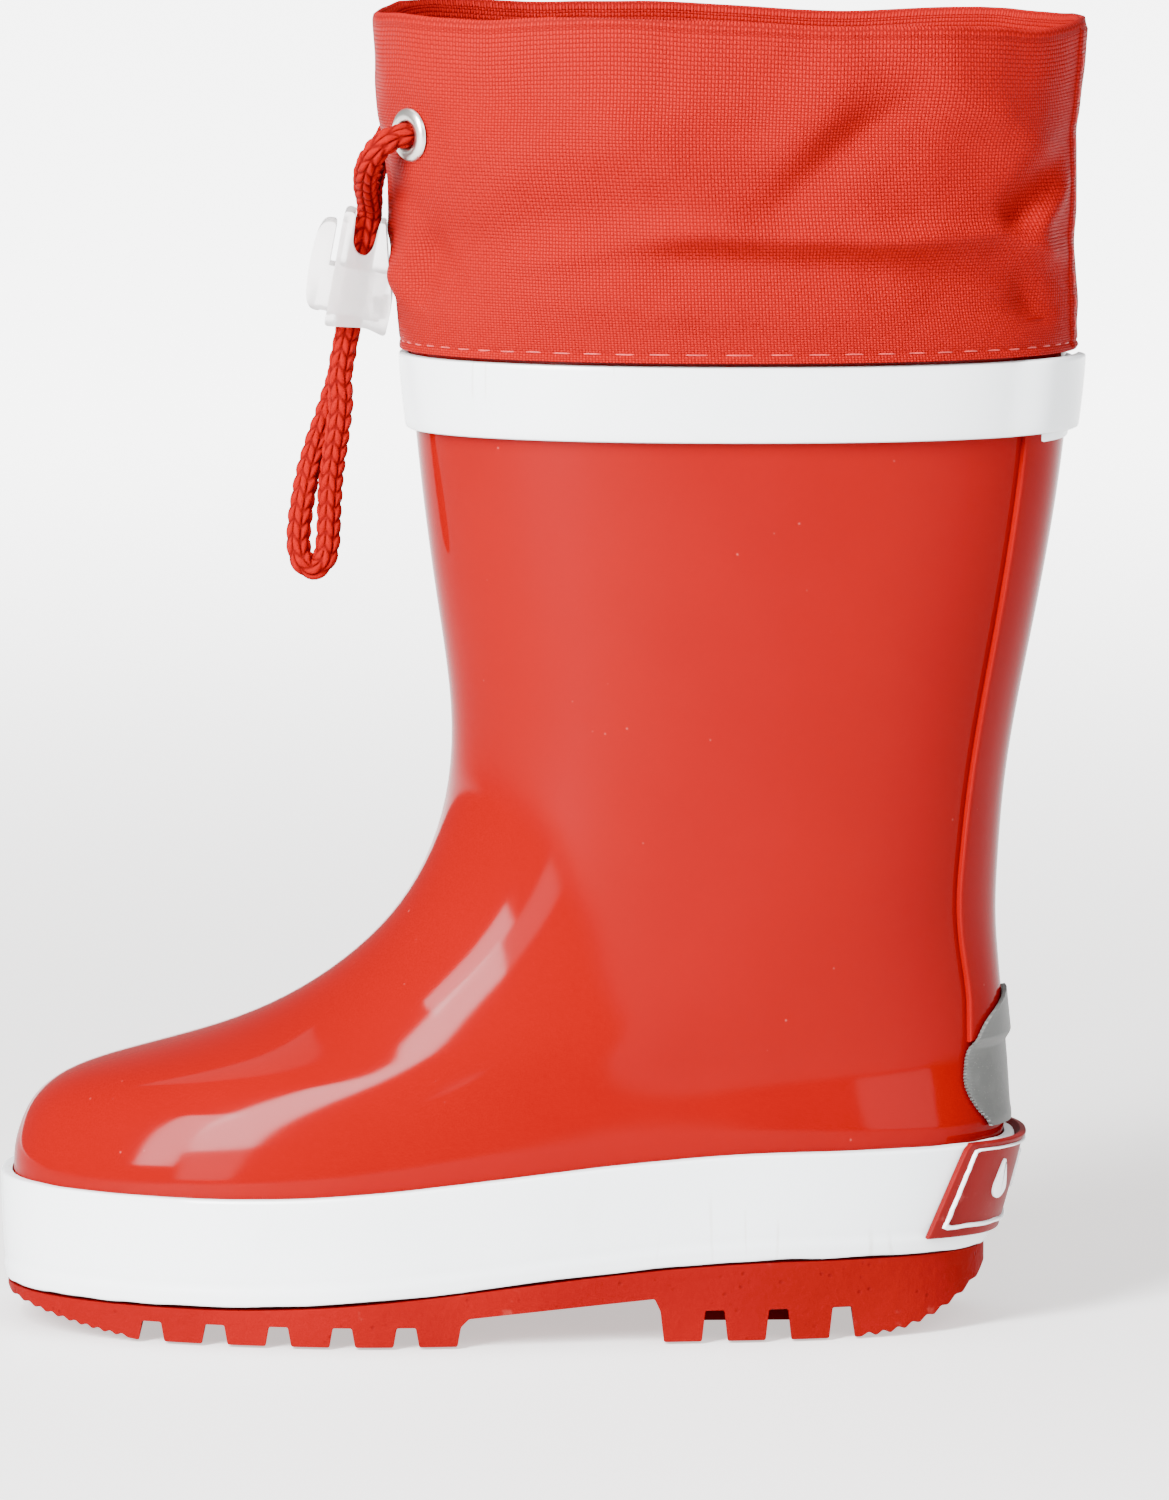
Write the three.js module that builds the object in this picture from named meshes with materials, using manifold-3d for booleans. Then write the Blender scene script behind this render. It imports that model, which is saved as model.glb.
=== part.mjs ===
// A child's rubber rain boot for the left foot, in millimetres: +Z is up, the toe points along -X and the
// outer side of the foot faces -Y. The origin is on the ground under the middle of the boot.
import * as THREE from 'three';
import { mergeVertices } from 'three/addons/utils/BufferGeometryUtils.js';
import Module from 'manifold-3d';

const wasm = await Module();
wasm.setup();

// ---- Driving sizes -------------------------------------------------------------------------------

const HEEL_X = 80.6; // back of the upper at the heel
const FOOT_LENGTH = 174.2; // heel to toe of the upper, above the foxing
const BALL_HALF = 34; // half width of the upper at the ball
const HEEL_HALF = 28.5;
const SHAFT_HALF = 32; // half width of the shaft at its top
const SHAFT_TOP = 170.5; // height of the top band's top edge
const CUFF_TOP = 230.7; // height of the cuff's rim at the front

const GAP = 0.3; // between pieces that lie on each other
const INNER_GAP = 0.7; // between curved layers whose faces don't line up
const UPPER_WALL = 1.4;
const LINING_WALL = 0.8;
const STIFFENER_WALL = 1.1; // toe puff and heel counter
const FOXING_WALL = 1.9;
const FOXING_HEIGHT = 20.4;
const BAND_WALL = 1.5;
const BAND_HEIGHT = 14.2;
const STAY_WALL = 0.9;
const PATCH_WALL = 0.8;
const LABEL_WALL = 1.1;
const LABEL_RELIEF = 0.5; // frame and drops above the label
const FABRIC_WALL = 0.8;

const BALL_TOP = 6.2; // top of the outsole under the ball
const HEEL_TOP = 13.9; // top of the outsole under the heel
const TOE_SPRING = 4.9; // underside of the toe above the ground
const CLEAT_PITCH = 11.1;
const CLEAT_LENGTH = 6.6;
const CLEAT_TAPER = 0.6;
const FOREFOOT_GROOVE = 3.4;
const HEEL_GROOVE = 5.4;
const ARCH_FRONT = 4.8; // underside of the arch above the ground
const ARCH_BACK = 7.6;
const HEEL_RIB_HALF = 8;

const FILLER = 2; // thicknesses inside the sole
const BOARD = 1.6;
const INSOLE = 3.2;

const CORD = 4.1; // diameter of the draw cord
const STRAND_SPACING = 4.6; // between the two strands inside the lock
const EYELET_RADIUS = 4.65;
const EYELET_BORE = CORD / 2 + GAP;
const EYELET_BARREL = EYELET_BORE + 0.55;
const EYELET_FLANGE = 0.7;
const EYELET_LEVEL = 4.1; // on the cuff's stations
const EYELET_ANGLE = 0.44; // each side of the front

const LOCK_AT = new THREE.Vector3(-32, 0, 184.5);
const LOCK_TILT = THREE.MathUtils.degToRad(10.5);
const LOCK_HALF_HEIGHT = 10.2;
const LOCK_WALL = 1;
const LOCK_LEFT = -4.5;
const SLOT_X = -0.3; // middle of the cord's way through the lock
const BUTTON_TRAVEL = 1.6;
const BUTTON_FACE = -8.9;
const BUTTON_HALF_HEIGHT = 7.9;
const BUTTON_RECESS = 0.9;
const PLUNGER_TOP = 0.3;
const PLUNGER_BOTTOM = -7.6;
const PLUNGER_BAR = 0.7;
const SPRING_Z = -5.4;
const SPRING_WIRE = 0.35;
const SPRING_RADIUS = 1.7;
const SPRING_TURNS = 2.25;

// ---- Colours -------------------------------------------------------------------------------------

const finish = (color, roughness, metalness = 0) =>
  new THREE.MeshStandardMaterial({ color, roughness, metalness });
const RED_RUBBER = finish(0xe11f20, 0.15);
const OUTSOLE_RED = finish(0xd22c2c, 0.75);
const WHITE_RUBBER = finish(0xe9eef0, 0.35);
const LABEL_RED = finish(0xbe2323, 0.4);
const REFLECTIVE = finish(0x969894, 0.5);
const NYLON = finish(0xe8231f, 0.7);
const BRAID = finish(0xd21618, 0.8);
const NICKEL = finish(0xc9c7c0, 0.25, 1);
const CLEAR_PLASTIC = finish(0xf1ece6, 0.3);
const SPRING_STEEL = finish(0x9b9b9b, 0.3, 1);
const KNIT = finish(0x8c8f94, 0.95);
const BOARD_TAN = finish(0xb09468, 0.9);
const FOAM = finish(0x55585c, 0.95);

const boot = new THREE.Group();

function piece(name, geometry, material, parent = boot) {
  const mesh = new THREE.Mesh(geometry, material);
  mesh.name = name;
  parent.add(mesh);
  return mesh;
}

// ---- Solids --------------------------------------------------------------------------------------

const { lerp, clamp, smoothstep } = THREE.MathUtils;

function toManifold(geometry) {
  const bare = geometry.clone();
  bare.deleteAttribute('normal');
  bare.deleteAttribute('uv');
  const merged = mergeVertices(bare.index ? bare.toNonIndexed() : bare, 1e-4);
  const mesh = new wasm.Mesh({
    numProp: 3,
    vertProperties: new Float32Array(merged.attributes.position.array),
    triVerts: new Uint32Array(merged.index.array),
  });
  return new wasm.Manifold(mesh);
}

function toGeometry(solid) {
  const mesh = solid.getMesh();
  const geometry = new THREE.BufferGeometry();
  geometry.setAttribute('position', new THREE.BufferAttribute(mesh.vertProperties, 3));
  geometry.setIndex(new THREE.BufferAttribute(mesh.triVerts, 1));
  return geometry;
}

function signedVolume(points, faces) {
  return faces.reduce((sum, [a, b, c]) => {
    const cross = new THREE.Vector3().crossVectors(points[b], points[c]);
    return sum + points[a].dot(cross) / 6;
  }, 0);
}

// A closed body from a row of sections with as many points each. Each section goes out along one wall and
// back along the other. The row either closes on itself or is capped at both ends.
function wrap(sections, closed) {
  const count = sections[0].length;
  const points = sections.flat();
  const faces = [];
  const quad = (a, b, c, d) => faces.push([a, b, c], [a, c, d]);
  const spans = closed ? sections.length : sections.length - 1;
  for (let i = 0; i < spans; i += 1) {
    const here = i * count;
    const next = ((i + 1) % sections.length) * count;
    for (let k = 0; k < count; k += 1) {
      const l = (k + 1) % count;
      quad(here + k, here + l, next + l, next + k);
    }
  }
  if (!closed) {
    const last = (sections.length - 1) * count;
    for (let k = 0; k < count / 2 - 1; k += 1) {
      const back = count - 1 - k;
      quad(k, back, back - 1, k + 1);
      quad(last + k, last + k + 1, last + back - 1, last + back);
    }
  }
  if (signedVolume(points, faces) < 0) faces.forEach((face) => face.reverse());
  const geometry = new THREE.BufferGeometry().setFromPoints(points);
  geometry.setIndex(faces.flat());
  return geometry;
}

const steps = (count) => Array.from({ length: count + 1 }, (_, i) => i / count);

// ---- The boot's form -----------------------------------------------------------------------------

// Height of the outsole's top, where the upper stands, along the foot.
const TOE_X = HEEL_X - FOOT_LENGTH;
const BALL_X = TOE_X + 33;
const BREAST_X = 20.8; // front of the heel block
const SHANK_X = BREAST_X + 24;

function soleTop(x) {
  const toe = clamp((BALL_X - x) / (BALL_X - TOE_X), 0, 1.2);
  return lerp(BALL_TOP, HEEL_TOP, smoothstep(x, BALL_X, SHANK_X)) + 0.5 * toe ** 2;
}

// A station is a ring of the form: its front and back points, its half widths over the ball and the heel,
// its squareness (2 is an ellipse), how far its toe swings inward and how much it follows the sole's line.
const ANKLE_X = -17;
const VAMP_TOP = 92;
const reach = (part) => lerp(ANKLE_X, TOE_X, part);
const rise = (part) => lerp(VAMP_TOP, SHAFT_TOP, part);
const station = (front, back, halves, square, swing = 0, sag = 0) => ({
  front, back, halves, square, swing, sag,
});

const FOXING_TOP_FRONT = soleTop(TOE_X) + FOXING_HEIGHT;
const FOXING_TOP_BACK = HEEL_TOP + FOXING_HEIGHT;
const BOOT_STATIONS = [
  station([reach(0.991), soleTop(TOE_X) + GAP], [HEEL_X - 1, HEEL_TOP + GAP], [BALL_HALF - 0.6, HEEL_HALF - 0.8],
    2.7, 3, 1),
  station([TOE_X, FOXING_TOP_FRONT], [HEEL_X, FOXING_TOP_BACK], [BALL_HALF, HEEL_HALF], 2.65, 3, 1),
  station([reach(0.986), 33.6], [HEEL_X, 39], [BALL_HALF - 0.5, HEEL_HALF], 2.55, 3, 0.8),
  station([reach(0.944), 39.4], [HEEL_X - 0.2, 43], [BALL_HALF - 1.6, HEEL_HALF - 0.3], 2.45, 2.8, 0.55),
  station([reach(0.858), 43.6], [HEEL_X - 0.5, 47], [BALL_HALF - 3, HEEL_HALF - 0.5], 2.35, 2.4, 0.35),
  station([reach(0.722), 46.8], [HEEL_X - 0.9, 51.5], [BALL_HALF - 4.4, HEEL_HALF - 0.6], 2.3, 1.8, 0.2),
  station([reach(0.521), 51.2], [HEEL_X - 1.5, 57], [BALL_HALF - 5.6, HEEL_HALF - 0.6], 2.25, 1.1, 0.1),
  station([reach(0.34), 57.6], [HEEL_X - 2.1, 63.5], [BALL_HALF - 6.2, HEEL_HALF - 0.5], 2.2, 0.5),
  station([reach(0.178), 67], [HEEL_X - 2.7, 72], [BALL_HALF - 6.2, HEEL_HALF - 0.3], 2.2, 0.2),
  station([reach(0.068), 78], [HEEL_X - 2.3, 82], [BALL_HALF - 5.8, HEEL_HALF], 2.2),
  station([reach(0.002), VAMP_TOP], [HEEL_X - 1.3, 95], [SHAFT_HALF - 3, SHAFT_HALF - 3.2], 2.2),
  station([ANKLE_X + 0.8, rise(0.21)], [HEEL_X + 0.9, rise(0.22)], [SHAFT_HALF - 2.2, SHAFT_HALF - 2.6], 2.2),
  station([ANKLE_X - 1, rise(0.46)], [HEEL_X + 4.8, rise(0.47)], [SHAFT_HALF - 1.4, SHAFT_HALF - 1.6], 2.2),
  station([ANKLE_X - 3.5, rise(0.72)], [HEEL_X + 8, rise(0.72)], [SHAFT_HALF - 0.6, SHAFT_HALF - 0.8], 2.2),
  station([ANKLE_X - 5.6, SHAFT_TOP], [HEEL_X + 10.4, SHAFT_TOP], [SHAFT_HALF, SHAFT_HALF], 2.2),
  station([ANKLE_X - 6.3, SHAFT_TOP + 7], [HEEL_X + 11, SHAFT_TOP + 7], [SHAFT_HALF + 0.3, SHAFT_HALF + 0.3], 2.2),
];
const FOXING_LEVEL = 1; // the station at the foxing's top edge
const SHAFT_LEVEL = 14; // the station at the top band's top edge
const TOP_LEVEL = BOOT_STATIONS.length - 1;
const MM_PER_LEVEL = (SHAFT_TOP - VAMP_TOP) / (SHAFT_LEVEL - 10);

// The cuff's outer face stands proud of the rubber that its lower edge is sewn over.
const CUFF_PROUD = BAND_WALL + 3 * GAP + 0.2;
const cuffRise = (part) => lerp(SHAFT_TOP + 0.7, CUFF_TOP, part);
const CUFF_X_FRONT = ANKLE_X - 5.6 - CUFF_PROUD;
const CUFF_X_BACK = HEEL_X + 10.4 + CUFF_PROUD;
const CUFF_HALF = SHAFT_HALF + CUFF_PROUD;
const CUFF_STATIONS = [
  station([CUFF_X_FRONT, cuffRise(0)], [CUFF_X_BACK, cuffRise(0)], [CUFF_HALF, CUFF_HALF], 2.2),
  station([CUFF_X_FRONT - 0.5, cuffRise(0.123)], [CUFF_X_BACK + 0.2, cuffRise(0.123)], [CUFF_HALF, CUFF_HALF], 2.2),
  station([CUFF_X_FRONT - 1.4, cuffRise(0.273)], [CUFF_X_BACK + 0.4, cuffRise(0.273)], [CUFF_HALF, CUFF_HALF], 2.2),
  station([CUFF_X_FRONT - 2.3, cuffRise(0.443)], [CUFF_X_BACK + 0.2, cuffRise(0.443)], [CUFF_HALF, CUFF_HALF], 2.2),
  station([CUFF_X_FRONT - 3, cuffRise(0.622)], [CUFF_X_BACK - 0.2, cuffRise(0.613)], [CUFF_HALF, CUFF_HALF], 2.2),
  station([CUFF_X_FRONT - 3.7, cuffRise(0.783)], [CUFF_X_BACK + 1, cuffRise(0.764)], [CUFF_HALF, CUFF_HALF], 2.2),
  station([CUFF_X_FRONT - 4.5, CUFF_TOP], [CUFF_X_BACK + 2.3, CUFF_TOP - 2], [CUFF_HALF, CUFF_HALF], 2.2),
];
const CUFF_LEVEL = CUFF_STATIONS.length - 1;

function form(stations) {
  const through = (pick) => new THREE.CatmullRomCurve3(
    stations.map((s) => new THREE.Vector3(...pick(s))), false, 'catmullrom', 0.5,
  );
  return {
    last: stations.length - 1,
    front: through((s) => [...s.front, s.halves[0]]),
    back: through((s) => [...s.back, s.halves[1]]),
    shape: through((s) => [s.square, s.swing, s.sag]),
  };
}

const BOOT = form(BOOT_STATIONS);
const CUFF = form(CUFF_STATIONS);

// A point on the form's outer face. The angle is 0 at the back and a quarter turn at the inner side.
function facePoint(shape, level, angle) {
  const at = clamp(level / shape.last, 0, 1);
  const front = shape.front.getPoint(at);
  const back = shape.back.getPoint(at);
  const { x: square, y: swing, z: sag } = shape.shape.getPoint(at);
  const power = 2 / square;
  const along = Math.sign(Math.cos(angle)) * Math.abs(Math.cos(angle)) ** power;
  const across = Math.sign(Math.sin(angle)) * Math.abs(Math.sin(angle)) ** power;
  const forward = (1 - along) / 2;
  const half = lerp(back.z, front.z, smoothstep(-along, -0.45, 0.35));
  const x = lerp(back.x, front.x, forward);
  const chord = lerp(soleTop(back.x), soleTop(front.x), forward);
  const z = lerp(back.y, front.y, forward) + sag * (soleTop(x) - chord);
  return new THREE.Vector3(x, half * across + swing * smoothstep(-along, 0.25, 1), z);
}

function faceNormal(shape, level, angle) {
  const small = 0.01;
  const low = clamp(level - small, 0, shape.last - 2 * small);
  const up = facePoint(shape, low + 2 * small, angle).sub(facePoint(shape, low, angle));
  const round = facePoint(shape, level, angle + small).sub(facePoint(shape, level, angle - small));
  return round.cross(up).normalize();
}

const onFace = (shape, level, angle, offset = 0) =>
  facePoint(shape, level, angle).addScaledVector(faceNormal(shape, level, angle), offset);

// A wall on the form between two levels, all the way round. Offsets may depend on the level.
const number = (value, ...at) => (typeof value === 'function' ? value(...at) : value);

function sleeve(shape, levels, inner, outer, around) {
  const sections = steps(around).slice(0, -1).map((part) => {
    const angle = part * 2 * Math.PI;
    const out = levels.map((level) => onFace(shape, level, angle, number(outer, level, angle)));
    const back = levels.map((level) => onFace(shape, level, angle, number(inner, level, angle)));
    return [...out, ...back.reverse()];
  });
  return wrap(sections, true);
}

// A patch on the form. Its half angle and its levels may change over it.
function patch(shape, levels, angles, inner, outer, middle = 0) {
  const sections = angles.map((share) => {
    const place = levels.map((level) => [level, middle + share * number(levels.spread, level)]);
    const out = place.map(([level, angle]) => onFace(shape, level, angle, number(outer, level, share)));
    const back = place.map(([level, angle]) => onFace(shape, level, angle, number(inner, level, share)));
    return [...out, ...back.reverse()];
  });
  return wrap(sections, false);
}

const between = (from, to, count) => steps(count).map((part) => lerp(from, to, part));

// The levels of a patch: its ends and each station between them, so that it bends where the upper does.
function span(from, to, spread) {
  const levels = [from, ...between(1, TOP_LEVEL, TOP_LEVEL - 1).filter((level) => level > from && level < to), to];
  levels.spread = spread;
  return levels;
}

const ROUND = 34; // faces round the boot

// ---- Outsole and the layers inside it ------------------------------------------------------------

function outline(offset) {
  const points = steps(ROUND).slice(0, -1).map((part) => {
    const at = onFace(BOOT, 0, part * 2 * Math.PI, offset);
    return new THREE.Vector2(at.x, at.y);
  });
  return new THREE.Shape(points);
}

const PLAN_DEPTH = 60;

function planSolid(offset) {
  const plan = new THREE.ExtrudeGeometry(outline(offset), { depth: PLAN_DEPTH, bevelEnabled: false });
  return toManifold(plan.translate(0, 0, -PLAN_DEPTH / 2));
}

// A profile in X and Z, run across the whole boot or over a half width.
function profileSolid(points, half = 60) {
  const profile = new THREE.Shape(points.map(([x, z]) => new THREE.Vector2(x, z)));
  const across = new THREE.ExtrudeGeometry(profile, { depth: 2 * half, bevelEnabled: false });
  return toManifold(across.rotateX(Math.PI / 2).translate(0, half, 0));
}

const SOLE_FRONT = TOE_X - 8;
const SOLE_BACK = HEEL_X + 8;
const topLine = (height) => between(SOLE_BACK, SOLE_FRONT, 16).map((x) => [x, soleTop(x) + height]);

const TOE_CURVE = 24; // length over which the tread rises to the toe
const TOE_TREAD_END = TOE_X + 23.1;
const FOREFOOT_START = TOE_TREAD_END + CLEAT_PITCH - CLEAT_LENGTH;
const FOREFOOT_CLEATS = 5;
const HEEL_CLEATS = 3;
const HEEL_TREAD_END = BREAST_X + HEEL_CLEATS * CLEAT_PITCH;
const HEEL_CURVE = 2.2;
const TEETH = 7;
const TOOTH = 0.8;

function cleat(start, groove) {
  const end = start + CLEAT_LENGTH;
  return [
    [start - CLEAT_TAPER, groove],
    [start, 0],
    [end, 0],
    [end + CLEAT_TAPER, groove],
  ];
}

// Small teeth across a curved end of the tread.
function serrated(curve, from, to) {
  return steps(TEETH * 2).map((part, i) => {
    const x = lerp(from, to, part);
    return [x, curve(x) + (i % 2 ? TOOTH : 0)];
  });
}

const toeCurve = (x) => TOE_SPRING * clamp((TOE_X + TOE_CURVE - x) / TOE_CURVE, 0, 1.2) ** 1.4;
const heelStart = HEEL_TREAD_END + 1.2;
const HEEL_ROUND = 8.5; // height of the heel's curve just in front of its back
const heelRise = (x) => HEEL_ROUND * clamp((x - heelStart) / (HEEL_X - 4.5 - heelStart), 0, 2) ** HEEL_CURVE;
const heelCurve = (x) => Math.min(heelRise(x), HEEL_TOP - TOOTH - 1);
const forefootCleats = Array.from({ length: FOREFOOT_CLEATS }, (_, i) => FOREFOOT_START + i * CLEAT_PITCH);
const heelCleats = Array.from({ length: HEEL_CLEATS }, (_, i) => BREAST_X + i * CLEAT_PITCH);

const treadLine = [
  ...serrated(toeCurve, TOE_X - 4, TOE_TREAD_END - 2),
  [TOE_TREAD_END, 0],
  [TOE_TREAD_END + CLEAT_TAPER, FOREFOOT_GROOVE],
  ...forefootCleats.flatMap((start) => cleat(start, FOREFOOT_GROOVE)),
  [forefootCleats.at(-1) + CLEAT_LENGTH + 2, ARCH_FRONT],
  [BREAST_X - CLEAT_TAPER - 1, ARCH_BACK],
  ...heelCleats.flatMap((start) => cleat(start, HEEL_GROOVE)),
  [HEEL_TREAD_END - CLEAT_TAPER, HEEL_GROOVE],
  [HEEL_TREAD_END, 0],
  ...serrated(heelCurve, heelStart, SOLE_BACK),
];

const SOLE_OFFSET = GAP + FOXING_WALL - 0.4;
const treadSolid = profileSolid([...treadLine, ...topLine(0)]);
const ribEnd = BREAST_X + 2 * CLEAT_PITCH + 1;
const ribSolid = profileSolid([[BREAST_X + 1, 0], [ribEnd, 0], [ribEnd, HEEL_TOP / 2], [BREAST_X + 1, HEEL_TOP / 2]],
  HEEL_RIB_HALF);
piece('outsole', toGeometry(planSolid(SOLE_OFFSET).intersect(treadSolid.add(ribSolid))), OUTSOLE_RED);

function soleLayer(offset, bottom, thickness) {
  const layer = profileSolid([...topLine(bottom).reverse(), ...topLine(bottom + thickness)]);
  return toGeometry(planSolid(offset).intersect(layer));
}

const liningFace = -(UPPER_WALL + GAP); // where the lining lies straight on the upper
const stiffenerFace = -(UPPER_WALL + INNER_GAP);
const stiffenedFace = stiffenerFace - STIFFENER_WALL - INNER_GAP; // where stiffeners are between them
const boardBottom = GAP + FILLER + GAP;
const boardTop = boardBottom + BOARD;
const insoleBottom = boardTop + GAP;
piece('sole_filler', soleLayer(liningFace, GAP, FILLER), FOAM);
piece('insole_board', soleLayer(liningFace, boardBottom, BOARD), BOARD_TAN);
piece('insole', soleLayer(stiffenedFace - LINING_WALL - GAP, insoleBottom, INSOLE), FOAM);

// ---- Upper, lining and stiffeners ----------------------------------------------------------------

const BOARD_LEVEL = (boardTop + GAP) / FOXING_HEIGHT; // just above the insole board
const upperLevels = BOOT_STATIONS.map((_, level) => level);
piece('upper', sleeve(BOOT, upperLevels, -UPPER_WALL, 0, ROUND), RED_RUBBER);

const liningOffset = (level) => lerp(stiffenedFace, liningFace, smoothstep(level, 6, 8.5));
const liningLevels = [BOARD_LEVEL, ...upperLevels.slice(1)];
piece('lining',
  sleeve(BOOT, liningLevels, (level) => liningOffset(level) - LINING_WALL, liningOffset, ROUND), KNIT);

const aroundPatch = between(-1, 1, 12);
piece('toe_puff',
  patch(BOOT, span(BOARD_LEVEL, 4, (level) => 1.25 - 0.1 * level), aroundPatch,
    stiffenerFace - STIFFENER_WALL, stiffenerFace, Math.PI), BOARD_TAN);
piece('heel_counter',
  patch(BOOT, span(BOARD_LEVEL, 5.6, (level) => 1.15 - 0.07 * level), aroundPatch,
    stiffenerFace - STIFFENER_WALL, stiffenerFace), BOARD_TAN);

// ---- White rubber --------------------------------------------------------------------------------

const FOXING_OUTER = GAP + FOXING_WALL;
const foxingLevels = [0, 0.08, 0.93, FOXING_LEVEL];
const foxingFace = (level) => FOXING_OUTER - (level === 0 || level === FOXING_LEVEL ? 0.4 : 0);
piece('foxing_band', sleeve(BOOT, foxingLevels, GAP, foxingFace, ROUND), WHITE_RUBBER);

// The top band is one strip wound round the shaft, with its end lapped over its start.
const BAND_LAP = 0.34;
const BAND_START = -0.42;
const bandBottom = SHAFT_LEVEL - BAND_HEIGHT / MM_PER_LEVEL;
const bandLevels = between(bandBottom, SHAFT_LEVEL, 1);

function strip(levels, start, turn, wall, count) {
  const sections = steps(count).map((part) => {
    const angle = start + part * turn;
    const climb = smoothstep(part * turn, 2 * Math.PI - BAND_LAP * 0.6, 2 * Math.PI - 0.02);
    const inner = GAP + climb * (wall + GAP);
    const out = levels.map((level) => onFace(BOOT, level, angle, inner + wall));
    const back = levels.map((level) => onFace(BOOT, level, angle, inner));
    return [...out, ...back.reverse()];
  });
  return wrap(sections, false);
}

piece('top_band', strip(bandLevels, BAND_START, 2 * Math.PI + BAND_LAP, BAND_WALL, ROUND + 4), WHITE_RUBBER);

// ---- Back stay, reflective patch and heel label --------------------------------------------------

const PATCH_BOTTOM = 1.25;
const PATCH_TOP = 6.1;
const STAY_BOTTOM = PATCH_TOP + 0.12;
const STAY_TOP = bandBottom - 0.05;
const staySpread = (level) => 0.43 + 0.1 * smoothstep(level, 6, 9);
piece('back_stay',
  patch(BOOT, span(STAY_BOTTOM, STAY_TOP, staySpread), between(-1, 1, 8), GAP, GAP + STAY_WALL),
  RED_RUBBER);

const patchSpread = (level) => 0.2 + 0.25 * Math.sin(Math.PI * clamp((PATCH_TOP + 0.6 - level) / 7.6, 0, 1));
piece('reflective_patch',
  patch(BOOT, span(PATCH_BOTTOM, PATCH_TOP, patchSpread), between(-1, 1, 10), GAP, GAP + PATCH_WALL),
  REFLECTIVE);

const LABEL_BOTTOM = 0.16;
const LABEL_TOP = 1.06;
const LABEL_MIDDLE = (LABEL_BOTTOM + LABEL_TOP) / 2;
const labelInner = FOXING_OUTER + GAP;
const labelOuter = labelInner + LABEL_WALL;
const labelSpread = (level) => 0.6 - 0.1 * (level - LABEL_BOTTOM);
piece('heel_label',
  patch(BOOT, span(LABEL_BOTTOM, LABEL_TOP, labelSpread), between(-1, 1, 12), labelInner, labelOuter),
  LABEL_RED);

// The label's frame is a raised border; the loop runs round it and each section is its small profile.
const FRAME_WIDTH = 0.055;
const FRAME_INSET = 0.09;

function labelPlace(u, v) {
  const level = lerp(LABEL_BOTTOM, LABEL_TOP, (v + 1) / 2);
  return [level, u * labelSpread(level)];
}

// The border's line as shares of the label's half sizes, with cut corners.
const alongEdge = between(-0.94, 0.94, 10);
const frameLine = [
  ...alongEdge.map((u) => [u, -1]), [1, -0.8], [1, 0.8], ...[...alongEdge].reverse().map((u) => [u, 1]),
  [-1, 0.8], [-1, -0.8],
];

function frameSection([u, v]) {
  const low = labelOuter + GAP;
  const high = low + LABEL_RELIEF;
  const at = (inset, offset) => onFace(BOOT, ...labelPlace(u * (1 - inset * 0.7), v * (1 - inset * 1.8)), offset);
  return [
    at(FRAME_INSET, low),
    at(FRAME_INSET, high),
    at(FRAME_INSET + FRAME_WIDTH, high),
    at(FRAME_INSET + FRAME_WIDTH, low),
  ];
}

piece('label_frame', wrap(frameLine.map(frameSection), true), WHITE_RUBBER);

// Three raised rain drops, each a round base drawn up to a point.
const DROP_RADIUS = 2.3;
const DROP_HEIGHT = 7.2;

function dropShape() {
  const shape = new THREE.Shape();
  shape.absarc(0, 0, DROP_RADIUS, Math.PI * 0.87, Math.PI * 2.13, false);
  shape.quadraticCurveTo(DROP_RADIUS * 0.5, DROP_RADIUS * 1.2, 0, DROP_HEIGHT - DROP_RADIUS);
  shape.quadraticCurveTo(-DROP_RADIUS * 0.5, DROP_RADIUS * 1.2,
    DROP_RADIUS * Math.cos(Math.PI * 0.87), DROP_RADIUS * Math.sin(Math.PI * 0.87));
  return shape;
}

// Turns an object so that its +Z is the form's outward normal and its +Y points up the form.
function stand(object, shape, level, angle, offset) {
  const normal = faceNormal(shape, level, angle);
  const side = new THREE.Vector3(0, 0, 1).cross(normal).normalize();
  const up = normal.clone().cross(side);
  object.quaternion.setFromRotationMatrix(new THREE.Matrix4().makeBasis(side, up, normal));
  object.position.copy(onFace(shape, level, angle, offset));
  return object;
}

const DROP_SPACING = 0.27;
[['left', -1], ['middle', 0], ['right', 1]].forEach(([side, share]) => {
  const drop = new THREE.ExtrudeGeometry(dropShape(), { depth: LABEL_RELIEF, bevelEnabled: false, curveSegments: 6 });
  drop.translate(0, -(DROP_HEIGHT / 2 - DROP_RADIUS), 0);
  stand(piece(`label_drop_${side}`, drop, WHITE_RUBBER), BOOT, LABEL_MIDDLE, share * DROP_SPACING,
    labelOuter + GAP);
});

// ---- Cuff and its eyelets ------------------------------------------------------------------------

// The cuff is one sleeve folded at the rim. The cord runs between its layers, at the eyelets' height.
const CHANNEL_DEPTH = CORD + 2 * INNER_GAP;
const sewnDepth = CUFF_PROUD + UPPER_WALL + GAP + LINING_WALL + GAP;
const channelAt = (level) => Math.exp(-(((level - EYELET_LEVEL) / 0.75) ** 2));
const innerLayer = (level) => {
  const sewn = lerp(sewnDepth, FABRIC_WALL + 1.2, smoothstep(level, 1.2, 2.2));
  const plain = lerp(sewn, FABRIC_WALL + 0.4, smoothstep(level, 5, CUFF_LEVEL));
  return -Math.max(plain, lerp(plain, FABRIC_WALL + CHANNEL_DEPTH, channelAt(level)));
};

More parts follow.
